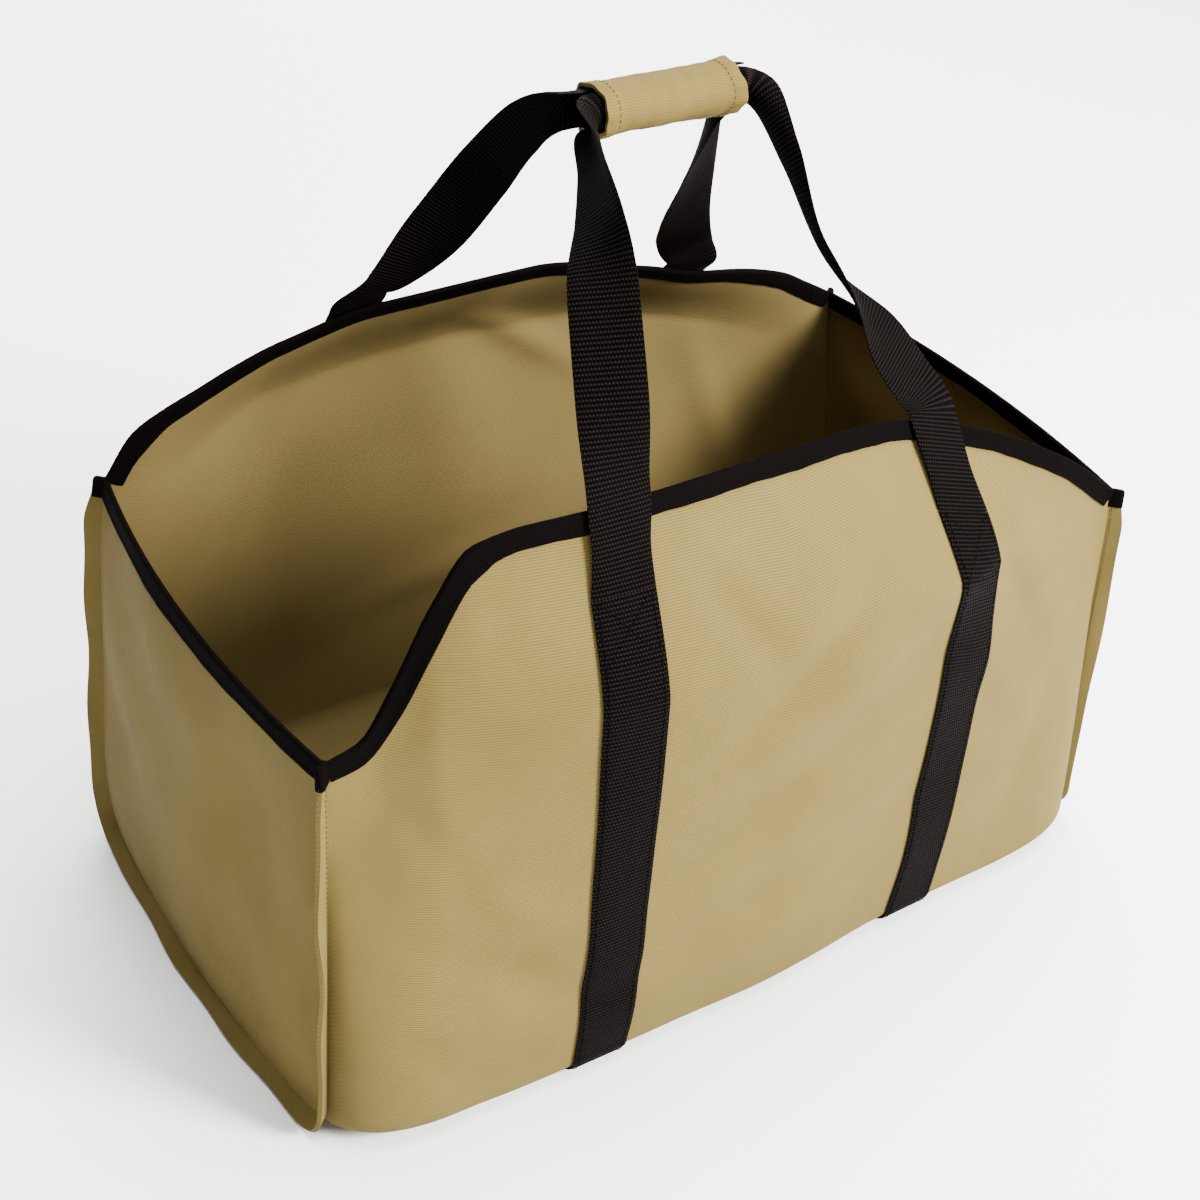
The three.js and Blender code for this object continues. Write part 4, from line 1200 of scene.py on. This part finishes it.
def add_tab(looks, node, station, end):
    """The tape end folded over the top of one corner seam."""
    folds, edges = seam_lines(end, 1)
    other_folds, _ = seam_lines(end, -1)
    beside = 1 if station == 0 else -2
    top = (folds[station] + other_folds[station]) / 2
    down = unit((folds[beside] + other_folds[beside]) / 2 - top)
    flange = unit(edges[station] - folds[station])
    apart = unit(folds[station] - other_folds[station])
    width = SEAM_ALLOWANCE * TAB_SHARE
    sections = []
    for reach, open_share in TAB_SECTIONS:
        place = top + flange * width * reach
        legs = [(place + down * share * TAPE_SEEN, apart) for share in TAB_SHARES]
        gap = (SEAM_SHIFT + HALF_WALL + TAPE_CLEARANCE) * open_share
        wall = TAPE_WALL * max(open_share, TAB_LEAST_WALL)
        sections.append(tape_faces(place, apart, down, gap, wall, legs))
    outer, inner = np.array(sections).swapaxes(0, 1)
    flat_map = np.stack([outer[..., 0] + outer[..., 1], outer[..., 2]], -1)
    tab = add_shell(f"{node}_tape", outer, inner, flat_map, [looks["tape"]])
    stand_for(tab, "tape", node)


def add_straps(looks):
    """Both straps, from the front stitch row under the bag to the back one."""
    rim_rows = round(WALL_STEPS * (1 - STITCH_SHARE))
    for name, end in (("left", -1), ("right", 1)):
        grid = main_grid(strap_alongs(end), flanges=False)
        normals = grid_normals(grid)
        outward = normals if normals[0, 0, 1] < 0 else -normals
        band = (grid + outward * STRAP_OFFSET)[rim_rows:-rim_rows]
        strap = add_webbing(f"strap_{name}_webbing", band, webbing_map(band), [looks["webbing"]])
        stand_for(strap, "webbing", f"strap_{name}")
        add_strap_stitches(looks, name, band, outward[rim_rows:-rim_rows])


def add_strap_stitches(looks, name, band, outward):
    """Edge rows down each strap, and the crossed box under each rim."""
    lift = WEBBING_THICK / 2
    lines = []
    for column in (1, WEBBING_STEPS - 1):
        lines.append((band[:, column] + outward[:, column] * lift, outward[:, column]))
    box_rows = round(WALL_STEPS * BOX_SHARE)
    falling = np.linspace(1, WEBBING_STEPS - 1, box_rows)
    for rows in (slice(0, box_rows), slice(len(band) - box_rows, len(band))):
        part, out = band[rows], outward[rows]
        every = range(box_rows)
        for slanted in (falling, falling[::-1]):
            low = np.floor(slanted).astype(int)
            share = (slanted - low)[:, None]
            line = mix(part[every, low], part[every, np.minimum(low + 1, WEBBING_STEPS)], share)
            lines.append((line + out[every, low] * lift, out[every, low]))
        for row in (0, box_rows - 1):
            edge, edge_out = part[row, 1:WEBBING_STEPS], out[row, 1:WEBBING_STEPS]
            lines.append((edge + edge_out * lift, edge_out))
    add_stitches(f"strap_{name}_stitches", lines, looks["black_thread"], "webbing")


def add_handles(looks):
    """Both webbing loops."""
    for name, side in (("front", -1), ("back", 1)):
        grid = handle_grid(side, name)
        handle = add_webbing(f"handle_{name}_webbing", grid, webbing_map(grid), [looks["webbing"]])
        stand_for(handle, "webbing", f"handle_{name}")


def add_grip(looks):
    """The canvas wrap that holds both loops together, with a stitch row near each end."""
    outer, inner = grip_grid(0), grip_grid(-GRIP_WALL)
    turn = np.linspace(0, 2 * math.pi + GRIP_OVERLAP, GRIP_TURN_STEPS + 1)
    along = np.linspace(-0.5, 0.5, GRIP_LENGTH_STEPS + 1) * GRIP_LENGTH
    flat_map = np.stack(np.broadcast_arrays(along[:, None], (turn * GRIP_RADIUS)[None]), -1)
    grip = add_shell("grip_canvas", outer, inner, flat_map, [looks["grip"]])
    stand_for(grip, "grip", "handle_grip")
    normals = grid_normals(outer)
    centre_out = outer - np.array([0, 0, HANDLE_HEIGHT])
    centre_out[..., 0] = 0
    normals = normals * np.sign(np.sum(normals * centre_out, axis=-1, keepdims=True))
    stitch_rows = (GRIP_STITCH_ROW, GRIP_LENGTH_STEPS - GRIP_STITCH_ROW)
    lines = [(outer[row], normals[row]) for row in stitch_rows]
    add_stitches("grip_stitches", lines, looks["thread"], "grip")


def add_stage(looks):
    """A plain pale floor, a pale sky and three soft lamps."""
    mesh = bpy.data.meshes.new("floor")
    corners = [(x * FLOOR_REACH, y * FLOOR_REACH, 0) for x, y in ((-1, -1), (1, -1), (1, 1), (-1, 1))]
    mesh.from_pydata(corners, [], [(0, 1, 2, 3)])
    mesh.materials.append(looks["floor"])
    floor = bpy.data.objects.new("floor", mesh)
    bpy.context.collection.objects.link(floor)
    world = bpy.data.worlds.new("pale_sky")
    bpy.context.scene.world = world
    world.use_nodes = True
    background = world.node_tree.nodes["Background"]
    background.inputs["Color"].default_value = (1, 1, 1, 1)
    background.inputs["Strength"].default_value = SKY_STRENGTH
    for lamp in LAMPS:
        add_lamp(*lamp)


def add_lamp(name, place, size, power):
    """A soft square lamp turned to the bag."""
    lamp = bpy.data.lights.new(name, "AREA")
    lamp.size = size
    lamp.energy = power
    item = bpy.data.objects.new(name, lamp)
    item.location = place
    aim = Vector(LAMP_AIM) - item.location
    item.rotation_euler = aim.to_track_quat("-Z", "Y").to_euler()
    bpy.context.collection.objects.link(item)


def make_looks():
    """The materials by name."""
    looks = {name: canvas_material(*colours) for name, colours in CANVAS_LOOKS.items()}
    looks["tape"] = tape_material()
    looks["webbing"] = webbing_material()
    looks["thread"] = thread_material("thread_khaki", THREAD_COLOUR)
    looks["black_thread"] = thread_material("thread_black", BLACK_THREAD_COLOUR)
    looks["floor"] = floor_material()
    return looks


add_camera()
LOOKS = make_looks()
add_main_panel(LOOKS)
for panel_name, panel_end in (("left", -1), ("right", 1)):
    add_end_panel(LOOKS, panel_name, panel_end)
for side_name, first_or_last in (("front", 0), ("back", -1)):
    for panel_name, panel_end in (("left", -1), ("right", 1)):
        add_tab(LOOKS, f"binding_tab_{side_name}_{panel_name}", first_or_last, panel_end)
add_straps(LOOKS)
add_handles(LOOKS)
add_grip(LOOKS)
add_stage(LOOKS)
